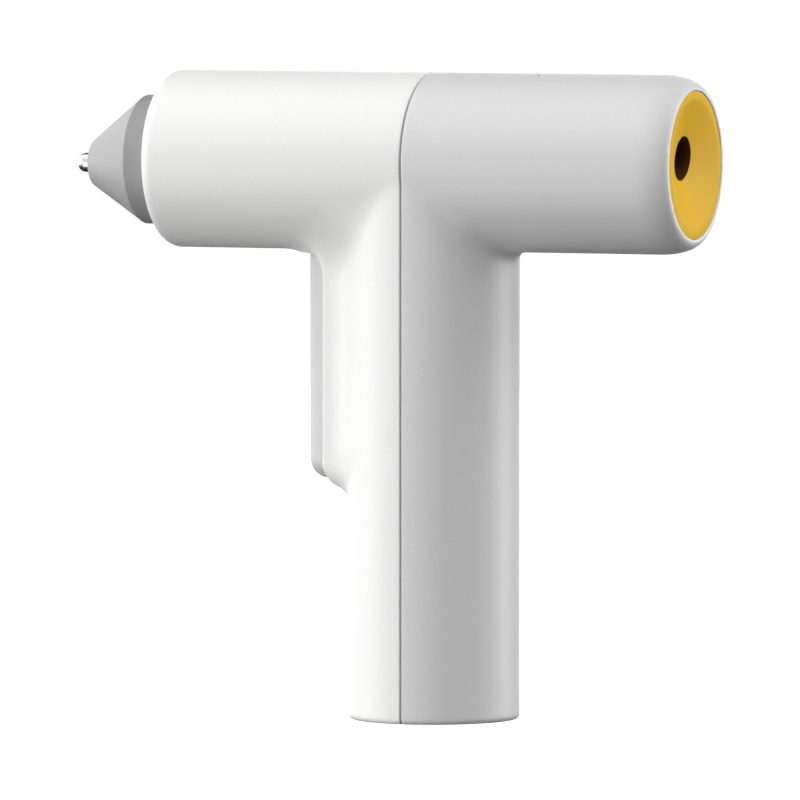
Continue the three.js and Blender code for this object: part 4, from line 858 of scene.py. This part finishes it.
def seam_lip():
    """Locating lip behind the seam, inside both shells."""
    points, triangles = body_skin()
    gap = 0.02
    openings = [
        Opening(lambda p: p[:, 0] - SEAM_X - 3.2, gap),
        Opening(lambda p: SEAM_X - 2.6 - p[:, 0], gap),
        Opening(lambda p: 3.2 - p[:, 2], gap),
    ]
    for opening in openings:
        points, triangles = trimmed(points, triangles, opening, body_field)
    points = points - unit(slope_of(body_field, points)) * LIP_OFFSET
    return shell_from_skin(points, triangles, openings, lambda p: body_field(p) + LIP_OFFSET,
                           lambda p: np.full(len(p), LIP_THICKNESS))


def make_front_shell():
    """White front shell with the trigger housing."""
    lip = shell_mm("lip")
    openings = [
        seam_opening(lip, -1),
        end_opening(NOSE_RADIUS + NOSE_PLAY, lip, -1, BARREL_FRONT + 2, NOSE_DROP),
        trigger_opening(lip),
        base_opening(lip),
    ]
    shell = object_from("front_shell_fine", *make_shell(openings))
    return named(shell, "front_shell_fine", "front_shell", "white_shell")


def make_rear_shell():
    """Grey rear shell with its locating lip."""
    lip = shell_mm("lip")
    openings = [
        seam_opening(lip, 1),
        end_opening(FUNNEL_RADIUS + FUNNEL_PLAY, FUNNEL_EDGE, 1, BARREL_REAR - 2),
        button_opening(lip),
        base_opening(lip),
    ]
    shell = object_from("rear_shell_fine", *make_shell(openings))
    shell = joined(shell, object_from("seam_lip", *seam_lip()))
    return named(shell, "rear_shell_fine", "rear_shell", "grey_shell", finish="rear_shell")


# ------------------------------------------------------------------ turned pieces

def arc(centre_along, centre_radius, along, across, start, end, steps=8):
    """Profile points [along, radius] of a quarter or other arc, angles in degrees."""
    points = []
    for step in range(steps + 1):
        angle = math.radians(start + (end - start) * step / steps)
        points.append((centre_along + along * math.sin(angle),
                       centre_radius + across * math.cos(angle)))
    return points


def turned(name, profile, centre=lambda x: AXIS_Z, sides=144, closed=False):
    """Turned piece along X: a ring is extruded along its profile, with a centre for each place."""
    deselect()
    start, radius = profile[0]
    bpy.ops.mesh.primitive_circle_add(
        vertices=sides, radius=radius * MM, fill_type="NOTHING",
        location=(start * MM, 0, centre(start) * MM), rotation=(0, math.pi / 2, 0))
    piece = at_origin(bpy.context.object)
    bpy.ops.object.mode_set(mode="EDIT")
    bpy.ops.mesh.select_all(action="SELECT")
    for (x0, r0), (x1, r1) in zip(profile, profile[1:]):
        move = Vector((x1 - x0, 0, centre(x1) - centre(x0))) * MM
        bpy.ops.mesh.extrude_region_move(TRANSFORM_OT_translate={"value": move})
        middle = Vector((x1, 0, centre(x1))) * MM
        bpy.ops.transform.resize(value=(1, r1 / r0, r1 / r0), center_override=middle)
    if closed:
        bpy.ops.mesh.select_all(action="SELECT")
        bpy.ops.mesh.remove_doubles(threshold=1e-6)
    else:
        bpy.ops.mesh.edge_face_add()
        bpy.ops.mesh.select_all(action="DESELECT")
        bpy.ops.object.mode_set(mode="OBJECT")
        for vertex in piece.data.vertices:
            vertex.select = bool(abs(vertex.co.x - start * MM) < 1e-7)
        bpy.ops.object.mode_set(mode="EDIT")
        bpy.ops.mesh.select_mode(type="VERT")
        bpy.ops.mesh.edge_face_add()
    bpy.ops.mesh.select_all(action="SELECT")
    bpy.ops.mesh.normals_make_consistent(inside=False)
    bpy.ops.object.mode_set(mode="OBJECT")
    piece.name = name
    return piece


CONE_SLOPE = math.radians(35.6)
CONE_BASE_RADIUS = 13.64


def make_nose_ring():
    """Darker collar: a plain cylinder with a small front edge and a flange behind the shell."""
    sizes = settings("glue_gun_nose")
    tip, rear = RING_LOW[0], RING_HIGH[0]
    flange = RING_HIGH[1]
    bore = NOSE_RADIUS - 2.3
    edge = 0.3
    profile = [
        (rear, bore), (rear, flange - 0.3), (rear - 0.3, flange), (rear - 1.4, flange),
        (rear - 1.5, NOSE_RADIUS), (tip + 2, NOSE_RADIUS), (tip + edge + 0.05, NOSE_RADIUS),
        *arc(tip + edge, NOSE_RADIUS - edge, -edge, edge, 0, math.degrees(CONE_SLOPE) + 6),
        (tip + 0.04, CONE_BASE_RADIUS), (tip, bore), (rear, bore),
    ]
    ring = turned("nose_ring_fine", profile, lambda x: AXIS_Z - NOSE_DROP, sizes.facets, True)
    return named(ring, "nose_ring_fine", "nose_ring", "nose_ring", angle=50)


def make_nose_cone():
    """Lighter cone that leans down to the nozzle, hollow behind."""
    sizes = settings("glue_gun_nose")
    rear, front = RING_LOW[0] - 0.02, CONE_LOW[0]
    edge = size_mm("glue_gun_nose", "edge")
    back = CONE_HIGH[0]
    slope = math.tan(CONE_SLOPE)
    lean = glue_z(front) - AXIS_Z - 0.06

    def centre(x):
        share = min(max((rear - x) / (rear - front), 0), 1)
        return AXIS_Z - NOSE_DROP + (lean + NOSE_DROP) * share

    turn = math.degrees(CONE_SLOPE)
    end = front + edge * (1 - math.sin(CONE_SLOPE))
    tip = CONE_BASE_RADIUS - (rear - end) * slope
    flank = [(rear - t * (rear - end), CONE_BASE_RADIUS - t * (rear - end) * slope)
             for t in (0.004, 0.02, 0.25, 0.5, 0.75, 0.97)]
    profile = [
        (back, 9.7), (back, 11.2), (rear + 0.1, 11.2), (rear + 0.02, 11.4),
        (rear, CONE_BASE_RADIUS - 0.05), *flank,
        *arc(front + edge, tip - edge * math.cos(CONE_SLOPE), -edge, edge, turn, 90),
        (front, 2.6), (front + 0.2, 2.4), (front + 2, 2.4), (front + 2.4, 4.3),
        (rear, 8.6), (back, 9.7),
    ]
    cone = turned("nose_cone_fine", profile, centre, sizes.facets, closed=True)
    return named(cone, "nose_cone_fine", "nose_cone", "nose_cone")


def make_nozzle():
    """Bright nozzle: a round end with its outlet, a neck and a straight shank."""
    tip, radius = NOZZLE_LOW[0] + INSIDE_BOX, 2.1
    dome, depth = size_mm("glue_gun_nose", "dome"), 1.35
    rear = NOZZLE_HIGH[0]
    profile = [
        (tip + 4, 0.45), (tip + 0.2, 0.48), (tip + 0.05, 0.6), (tip, 0.75),
        *arc(tip + dome, radius - depth, -dome, depth, 88, 0, 12),
        (tip + 2.4, radius), (tip + 5.2, radius), (tip + 6.9, radius), (tip + 7.0, 3.8),
        (tip + 12.8, 3.8), (tip + 13, 3.2), (rear, 3.2), (rear, 1.8), (tip + 9, 1.8),
        (tip + 8, 0.9), (tip + 4, 0.45),
    ]
    nozzle = turned("nozzle_fine", profile, glue_z, 96, closed=True)
    return named(nozzle, "nozzle_fine", "nozzle", "chrome")


FUNNEL_RIM = 1.9  # width of the flat ring round the dish
FUNNEL_SLOPE = 0.316
FUNNEL_MOUTH = 4.7
FUNNEL_HOLE_DEPTH = 12
FUNNEL_TUBE = (5.2, 3.9)  # guide tube's outside and bore


def make_funnel():
    """Yellow inlet: flat ring, shallow dish, and a hole along the glue line."""
    face = FUNNEL_HIGH[0] - INSIDE_BOX
    rim, edge = FUNNEL_RADIUS - FUNNEL_RIM, FUNNEL_EDGE
    front = FUNNEL_LOW[0]

    def dish(radius):
        return face - FUNNEL_SLOPE * (rim - radius)

    dished = [(dish(radius), radius) for radius in np.linspace(rim - 0.15, 1.0, 16)]
    profile = [
        (face - 7, 13.7), (face - 5.05, 13.75), (face - 5, FUNNEL_RADIUS),
        (face - edge, FUNNEL_RADIUS),
        *arc(face - edge, FUNNEL_RADIUS - edge, edge, edge, 0, 90, 3),
        (face, rim + 0.15), (face - 0.02, rim), *dished,
    ]
    funnel = turned("stick_funnel_fine", profile, sides=160)
    lean = math.atan(GLUE_SLOPE)
    for radius, start, end, operation in (
            (FUNNEL_TUBE[0], front, face - 6, "UNION"),
            (FUNNEL_MOUTH, face - FUNNEL_HOLE_DEPTH, face + 6, "DIFFERENCE"),
            (FUNNEL_TUBE[1], front - 2, face - FUNNEL_HOLE_DEPTH + 1, "DIFFERENCE")):
        tool = bar("x", radius, start, end, (0, glue_z(0)), sides=96)
        pick(tool)
        bpy.ops.transform.rotate(value=lean, orient_axis="Y",
                                 center_override=(0, 0, glue_z(0) * MM))
        combined(funnel, at_origin(tool), operation)
    return named(funnel, "stick_funnel_fine", "stick_funnel", "yellow_plastic", angle=25)


# ------------------------------------------------------------------ trigger and button

def trigger_field(p):
    """Upright bar with a half-round front and round ends."""
    centre = TRIGGER_LOW[0] + TRIGGER_HALF_WIDTH
    ahead = np.minimum(p[:, 0] - centre, 0)
    bar_form = length_of(ahead, p[:, 1]) - TRIGGER_HALF_WIDTH
    low, high = TRIGGER_LOW[2] - 0.2, TRIGGER_HIGH[2]
    corner = np.where(p[:, 2] > (low + high) / 2, *TRIGGER_CORNERS)
    outline = rounded_rectangle(p[:, 1], p[:, 2] - (low + high) / 2, TRIGGER_HALF_WIDTH,
                                (high - low) / 2, corner)
    chin = rounded_corner(bar_form, low - p[:, 2], 4.5)
    front = rounded_corner(chin, outline, 0.4)
    return rounded_corner(front, p[:, 0] - TRIGGER_BACK, 0.5)


def make_trigger():
    """Trigger with its flange and the stem that pushes the lever."""
    low, high = TRIGGER_LOW, TRIGGER_HIGH
    body = slab((low[0], -TRIGGER_HALF_WIDTH, low[2]), (TRIGGER_BACK, TRIGGER_HALF_WIDTH, high[2]))
    remeshed(body, 0.42)
    points, triangles = mesh_arrays(body)
    bpy.data.objects.remove(body)
    points = relaxed(settled(points, trigger_field, 12), triangles, trigger_field, 10)
    trigger = object_from("trigger_fine", points, triangles.tolist())
    stem_z = 92
    stem_width, stem_height = 2.8, 1.5  # both from the middle outwards
    stem_end = high[0] - stem_height
    parts = [
        slab((-13.2, low[1] + 0.05, low[2] + 3), (-11.8, high[1] - 0.05, high[2] - 3)),
        slab((-14, -stem_width, stem_z - stem_height),
             (stem_end, stem_width, stem_z + stem_height)),
        bar("y", stem_height, -stem_width, stem_width, (stem_end, stem_z), sides=32),
    ]
    hollow = slab((-22, -5.4, low[2] + 3), (-11, 5.4, stem_z - 4))
    combined(trigger, hollow, "DIFFERENCE")
    web = slab((-15.4, -5.6, 56.8), (-13.6, 5.6, 66.8))
    for part in [*parts, web]:
        combined(trigger, part, "UNION")
    return named(trigger, "trigger_fine", "trigger", "white_shell", "trigger_body",
                 finish="trigger")


def make_button():
    """Round power button whose top follows the barrel."""
    x = (BUTTON_LOW[0] + BUTTON_HIGH[0]) / 2
    edge = 0.2
    flange_top = 134.0
    deselect()
    bpy.ops.mesh.primitive_circle_add(vertices=96, radius=BUTTON_RADIUS * MM, fill_type="NGON",
                                      location=(x * MM, 0, flange_top * MM))
    piece = at_origin(bpy.context.object)
    bpy.ops.object.mode_set(mode="EDIT")
    bpy.ops.mesh.select_all(action="SELECT")
    top = AXIS_Z + BARREL_RADIUS
    middle = Vector((x, 0, top)) * MM
    bpy.ops.mesh.extrude_region_move(
        TRANSFORM_OT_translate={"value": (0, 0, (top - edge - flange_top) * MM)})
    steps = 4
    radius = BUTTON_RADIUS
    for step in range(1, steps + 1):
        angle = math.pi / 2 * step / steps
        next_radius = BUTTON_RADIUS - edge * (1 - math.cos(angle))
        rise = edge * (math.sin(angle) - math.sin(angle - math.pi / 2 / steps))
        bpy.ops.mesh.extrude_region_move(TRANSFORM_OT_translate={"value": (0, 0, rise * MM)})
        bpy.ops.transform.resize(value=(next_radius / radius,) * 2 + (1,), center_override=middle)
        radius = next_radius
    for share in (0.85, 0.7, 0.55, 0.4, 0.25, 0.1):
        bpy.ops.mesh.inset(thickness=(radius - BUTTON_RADIUS * share) * MM)
        radius = BUTTON_RADIUS * share
    bpy.ops.object.mode_set(mode="OBJECT")
    for vertex in piece.data.vertices:
        if vertex.co.z > (top - 1) * MM:
            y = vertex.co.y / MM
            vertex.co.z -= (BARREL_RADIUS - math.sqrt(BARREL_RADIUS ** 2 - y * y)) * MM
    flange_radius, flange_bottom, stem_radius = 7.0, 132.97, 1.5
    combined(piece, bar("z", flange_radius, flange_bottom, flange_top, (x, 0)), "UNION")
    combined(piece, bar("z", stem_radius, BUTTON_LOW[2], 133.5, (x, 0), sides=32), "UNION")
    return named(piece, "power_button_fine", "power_button", "grey_shell", "button_body")


# ------------------------------------------------------------------ base

SCREW_HEAD_RADIUS = 2.2
USB_PLAY = 0.3
SCREW_PLAY = 0.2


def base_screw_places():
    """Middle of each base screw."""
    for number in (1, 2):
        low, high = box_mm(f"base_screw_{number}")
        yield number, (low + high) / 2, low[2], high[2]


def make_base_cap():
    """Base cap with softened edges, the charging slot and countersunk screw holes."""
    width = CAP_HIGH[1]
    cap = bar("z", width, CAP_LOW[2] + INSIDE_BOX, CAP_HIGH[2], sides=160,
              scale=(CAP_HIGH[0] / width, 1))
    apply_modifier(cap, "BEVEL", width=0.3 * MM, segments=3, limit_method="ANGLE")
    usb_x = (USB_LOW[0] + USB_HIGH[0]) / 2
    half_length = (USB_HIGH[1] - USB_LOW[1]) / 2 + USB_PLAY
    half_height = (USB_HIGH[0] - USB_LOW[0]) / 2 + USB_PLAY
    slot = slab((usb_x - half_height, -half_length, -1), (usb_x + half_height, half_length, 4))
    pick(slot)
    bpy.ops.object.mode_set(mode="EDIT")
    bpy.ops.mesh.select_all(action="DESELECT")
    bpy.ops.object.mode_set(mode="OBJECT")
    for edge in slot.data.edges:
        a, b = (slot.data.vertices[i].co for i in edge.vertices)
        edge.select = abs(a.z - b.z) > MM
    bpy.ops.object.mode_set(mode="EDIT")
    bpy.ops.mesh.select_mode(type="EDGE")
    bpy.ops.mesh.bevel(offset=1.7 * MM, segments=8, affect="EDGES")
    bpy.ops.object.mode_set(mode="OBJECT")
    combined(cap, slot, "DIFFERENCE")
    for _, middle, _, _ in base_screw_places():
        place = (middle[0], middle[1])
        head = bar("z", SCREW_HEAD_RADIUS + SCREW_PLAY, -1, 1.6, place, sides=64)
        combined(cap, head, "DIFFERENCE")
        combined(cap, bar("z", 1.4, -1, 4, place, sides=32), "DIFFERENCE")
    return named(cap, "base_cap_fine", "base_cap", "grey_shell", angle=25)


def make_base_screws():
    """Two base screws with domed heads and cross recesses."""
    for number, middle, low, high in base_screw_places():
        place = (middle[0], middle[1])
        screw = bar("z", SCREW_HEAD_RADIUS, low + INSIDE_BOX, low + 1.3, place, sides=48)
        apply_modifier(screw, "BEVEL", width=0.35 * MM, segments=3, limit_method="ANGLE")
        combined(screw, bar("z", 1.2, low + 1.2, high - 0.6, place, sides=32), "UNION")
        for half_x, half_y in ((1.3, 0.3), (0.3, 1.3)):
            arm = slab((place[0] - half_x, place[1] - half_y, low - 1),
                       (place[0] + half_x, place[1] + half_y, low + 0.7))
            combined(screw, arm, "DIFFERENCE")
        pick(screw)
        screw.name = f"base_screw_fine_{number}"
        bpy.ops.object.shade_smooth_by_angle(angle=math.radians(30))
        screw.data.materials.append(inner_finishes()["steel"])
        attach(screw, HOUSING)
        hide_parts(f"base_screw_{number}")


# ------------------------------------------------------------------ frame nodes' finishes

@functools.lru_cache(maxsize=None)
def inner_finishes():
    """Materials of the pieces inside, by slot."""
    return {
        "steel": plain_metal("inner_steel", (0.6, 0.6, 0.61), 0.28),
        "nickel": plain_metal("inner_nickel", (0.68, 0.66, 0.6), 0.22),
        "aluminium": polished_metal("inner_aluminium", (0.7, 0.71, 0.72), 0.32, 0.5),
        "ceramic": fired_ceramic("inner_ceramic", (0.8, 0.76, 0.66)),
        "mica": mica_sheet("inner_mica", (0.46, 0.33, 0.16)),
        "silicone": soft_rubber("inner_silicone", (0.45, 0.06, 0.03)),
        "black_plastic": moulded_plastic("inner_black", (0.03, 0.03, 0.032), 0.5, 0.6),
        "inner_plastic": moulded_plastic("inner_natural", (0.68, 0.66, 0.6), 0.5, 0.6),
        "cell_sleeve": soft_rubber("inner_cell_sleeve", (0.06, 0.2, 0.5), 0.3),
        "circuit_board": circuit_board("inner_board", (0.02, 0.14, 0.06)),
        "red_wire": soft_rubber("inner_red_wire", (0.4, 0.02, 0.015), 0.4),
        "black_wire": soft_rubber("inner_black_wire", (0.015, 0.015, 0.015), 0.4),
    }


def dress_frame_nodes():
    """Gives each frame node inside its finish."""
    finishes = inner_finishes()
    for part in frame["record"]["subparts"]:
        finish = finishes.get(part["material_slot"])
        if finish is None:
            continue
        mesh = frame["nodes"][part["node"]].data
        mesh.materials.clear()
        mesh.materials.append(finish)


# ------------------------------------------------------------------ stage

CAMERA_AZIMUTH = 22.09
CAMERA_ELEVATION = 3.09
CAMERA_LENS = 532.5
CAMERA_DISTANCE = 2.5212
CAMERA_TARGET = Vector((-0.0079, 0, 0.0678))
STAGE_CENTRE = Vector((0, 0, 0.08))
SURROUND_GLOW = 0.03
FLOOR_SIZE = 3000


def make_camera():
    """Long lens from the front left, a little above."""
    azimuth, elevation = math.radians(CAMERA_AZIMUTH), math.radians(CAMERA_ELEVATION)
    back = Vector((math.sin(azimuth) * math.cos(elevation),
                   -math.cos(azimuth) * math.cos(elevation), math.sin(elevation)))
    data = bpy.data.cameras.new("camera")
    data.lens = CAMERA_LENS
    data.sensor_width = 36
    data.clip_start, data.clip_end = 0.1, 2000
    camera = bpy.data.objects.new("camera", data)
    bpy.context.collection.objects.link(camera)
    camera.location = CAMERA_TARGET + back * CAMERA_DISTANCE
    camera.rotation_mode = "QUATERNION"
    camera.rotation_quaternion = (-back).to_track_quat("-Z", "Y")
    bpy.context.scene.camera = camera


def softbox(name, way, power, size=1.1, distance=1.3):
    """Round soft light in a direction from the object."""
    data = bpy.data.lights.new(name, "AREA")
    data.shape = "DISK"
    data.size = size
    data.energy = power
    light = bpy.data.objects.new(name, data)
    bpy.context.collection.objects.link(light)
    way = Vector(way).normalized()
    light.location = STAGE_CENTRE + way * distance
    light.rotation_mode = "QUATERNION"
    light.rotation_quaternion = (-way).to_track_quat("-Z", "Y")
    light.visible_camera = False


def make_world():
    """White surround for the camera, and a faint one for reflections and shade."""
    world = bpy.data.worlds.new("studio")
    bpy.context.scene.world = world
    world.use_nodes = True
    nodes, links = world.node_tree.nodes, world.node_tree.links
    ray = nodes.new("ShaderNodeLightPath")
    ramp = nodes.new("ShaderNodeMapRange")
    ramp.inputs["To Min"].default_value = SURROUND_GLOW
    ramp.inputs["To Max"].default_value = 1.0
    links.new(ray.outputs["Is Camera Ray"], ramp.inputs["Value"])
    links.new(ramp.outputs["Result"], nodes["Background"].inputs["Strength"])
    nodes["Background"].inputs["Color"].default_value = (1, 1, 1, 1)


def make_floor():
    """Plain white floor that only the camera sees."""
    deselect()
    bpy.ops.mesh.primitive_plane_add(size=FLOOR_SIZE, location=(0, 0, 0))
    floor = bpy.context.object
    floor.name = "floor"
    finish = Finish("floor", Roughness=0.9, Specular_IOR_Level=0.0)
    mottle = finish.grain(400, 2)
    finish.feed("Base Color", finish.mixed(mottle, (0.9, 0.9, 0.9), (0.91, 0.91, 0.91)))
    finish.shader.inputs["Emission Color"].default_value = (1, 1, 1, 1)
    finish.shader.inputs["Emission Strength"].default_value = 1.0
    floor.data.materials.append(finish.material)
    floor.visible_diffuse = False
    floor.visible_glossy = False
    floor.visible_shadow = False


def make_stage():
    """Camera, lights, surround and floor."""
    make_camera()
    make_world()
    make_floor()
    softbox("top", (0, 0, 1), 2.2)
    softbox("top_front", (-0.05, -0.72, 0.7), 6.4)
    softbox("top_left", (-0.72, -0.1, 0.7), 6.6)
    softbox("top_rear", (0.7, 0.1, 0.7), 6.8)
    softbox("left", (-1, -0.25, 0.05), 6.6, 1.0)
    softbox("left_front", (-0.75, -0.85, 0.15), 2.0, 1.0)
    softbox("front", (0.1, -1, 0.1), 3.0, 1.0, 1.6)
    softbox("low_front", (-0.3, -0.85, -0.45), 5.6, 1.0)
    softbox("right_back", (0.8, 0.65, 0.1), 10.4, 0.9)
    softbox("right", (1, 0.05, 0.05), 1.2, 0.9)
    softbox("left_back", (-0.85, 0.55, 0.1), 3.6, 0.9)
    softbox("back", (-0.2, 1, 0.1), 3.8, 0.9)
    scene = bpy.context.scene
    scene.view_settings.view_transform = "Standard"
    scene.view_settings.look = "None"


# ------------------------------------------------------------------ operators

class Maker:
    """What every operator here shares."""

    bl_options = {"REGISTER", "UNDO"}


class GLUEGUN_OT_stage(Maker, bpy.types.Operator):
    """Adds the camera, lights and floor."""

    bl_idname = "glue_gun.stage"
    bl_label = "Stage"

    def execute(self, context):
        make_stage()
        return {"FINISHED"}


class GLUEGUN_OT_front_shell(Maker, bpy.types.Operator):
    """Models the white front shell."""

    bl_idname = "glue_gun.front_shell"
    bl_label = "Front Shell"

    def execute(self, context):
        make_front_shell()
        return {"FINISHED"}


class GLUEGUN_OT_rear_shell(Maker, bpy.types.Operator):
    """Models the grey rear shell."""

    bl_idname = "glue_gun.rear_shell"
    bl_label = "Rear Shell"

    def execute(self, context):
        make_rear_shell()
        return {"FINISHED"}


class GLUEGUN_OT_nose_ring(Maker, bpy.types.Operator):
    """Models the collar of the nose."""

    bl_idname = "glue_gun.nose_ring"
    bl_label = "Nose Ring"

    def execute(self, context):
        make_nose_ring()
        return {"FINISHED"}


class GLUEGUN_OT_nose_cone(Maker, bpy.types.Operator):
    """Models the cone of the nose."""

    bl_idname = "glue_gun.nose_cone"
    bl_label = "Nose Cone"

    def execute(self, context):
        make_nose_cone()
        return {"FINISHED"}


class GLUEGUN_OT_nozzle(Maker, bpy.types.Operator):
    """Models the bright nozzle."""

    bl_idname = "glue_gun.nozzle"
    bl_label = "Nozzle"

    def execute(self, context):
        make_nozzle()
        return {"FINISHED"}


class GLUEGUN_OT_funnel(Maker, bpy.types.Operator):
    """Models the yellow stick inlet."""

    bl_idname = "glue_gun.funnel"
    bl_label = "Stick Funnel"

    def execute(self, context):
        make_funnel()
        return {"FINISHED"}


class GLUEGUN_OT_trigger(Maker, bpy.types.Operator):
    """Models the trigger."""

    bl_idname = "glue_gun.trigger"
    bl_label = "Trigger"

    def execute(self, context):
        make_trigger()
        return {"FINISHED"}


class GLUEGUN_OT_button(Maker, bpy.types.Operator):
    """Models the power button."""

    bl_idname = "glue_gun.button"
    bl_label = "Power Button"

    def execute(self, context):
        make_button()
        return {"FINISHED"}


class GLUEGUN_OT_base_cap(Maker, bpy.types.Operator):
    """Models the base cap."""

    bl_idname = "glue_gun.base_cap"
    bl_label = "Base Cap"

    def execute(self, context):
        make_base_cap()
        return {"FINISHED"}


class GLUEGUN_OT_base_screws(Maker, bpy.types.Operator):
    """Models the two base screws."""

    bl_idname = "glue_gun.base_screws"
    bl_label = "Base Screws"

    def execute(self, context):
        make_base_screws()
        return {"FINISHED"}


class GLUEGUN_OT_inside(Maker, bpy.types.Operator):
    """Gives the pieces inside their finishes."""

    bl_idname = "glue_gun.inside"
    bl_label = "Inside Finishes"

    def execute(self, context):
        dress_frame_nodes()
        return {"FINISHED"}


OPERATORS = [
    GLUEGUN_OT_stage,
    GLUEGUN_OT_front_shell,
    GLUEGUN_OT_rear_shell,
    GLUEGUN_OT_nose_ring,
    GLUEGUN_OT_nose_cone,
    GLUEGUN_OT_nozzle,
    GLUEGUN_OT_funnel,
    GLUEGUN_OT_trigger,
    GLUEGUN_OT_button,
    GLUEGUN_OT_base_cap,
    GLUEGUN_OT_base_screws,
    GLUEGUN_OT_inside,
]


class GLUEGUN_PT_maker(bpy.types.Panel):
    """Lists the glue gun's makers and sizes."""

    bl_label = "Glue Gun"
    bl_space_type = "VIEW_3D"
    bl_region_type = "UI"
    bl_category = "Glue Gun"

    def draw(self, context):
        for group in ("glue_gun_shell", "glue_gun_nose", "glue_gun_finish"):
            values = getattr(context.scene, group)
            for name in values.bl_rna.properties.keys():
                if name not in ("rna_type", "name"):
                    self.layout.prop(values, name)
        for maker in OPERATORS:
            self.layout.operator(maker.bl_idname)


GROUPS = {
    "glue_gun_shell": ShellSettings,
    "glue_gun_nose": NoseSettings,
    "glue_gun_finish": FinishSettings,
}


def register():
    """Registers the groups, operators and panel."""
    for name, group in GROUPS.items():
        bpy.utils.register_class(group)
        setattr(bpy.types.Scene, name, bpy.props.PointerProperty(type=group))
    for maker in [*OPERATORS, GLUEGUN_PT_maker]:
        bpy.utils.register_class(maker)


def unregister():
    """Removes what register added."""
    for maker in reversed([*OPERATORS, GLUEGUN_PT_maker]):
        bpy.utils.unregister_class(maker)
    for name, group in GROUPS.items():
        delattr(bpy.types.Scene, name)
        bpy.utils.unregister_class(group)


def main():
    """Makes everything in order."""
    register()
    for maker in OPERATORS:
        call = getattr(bpy.ops.glue_gun, maker.bl_idname.split(".")[1])
        call()


if __name__ == "__main__":
    main()
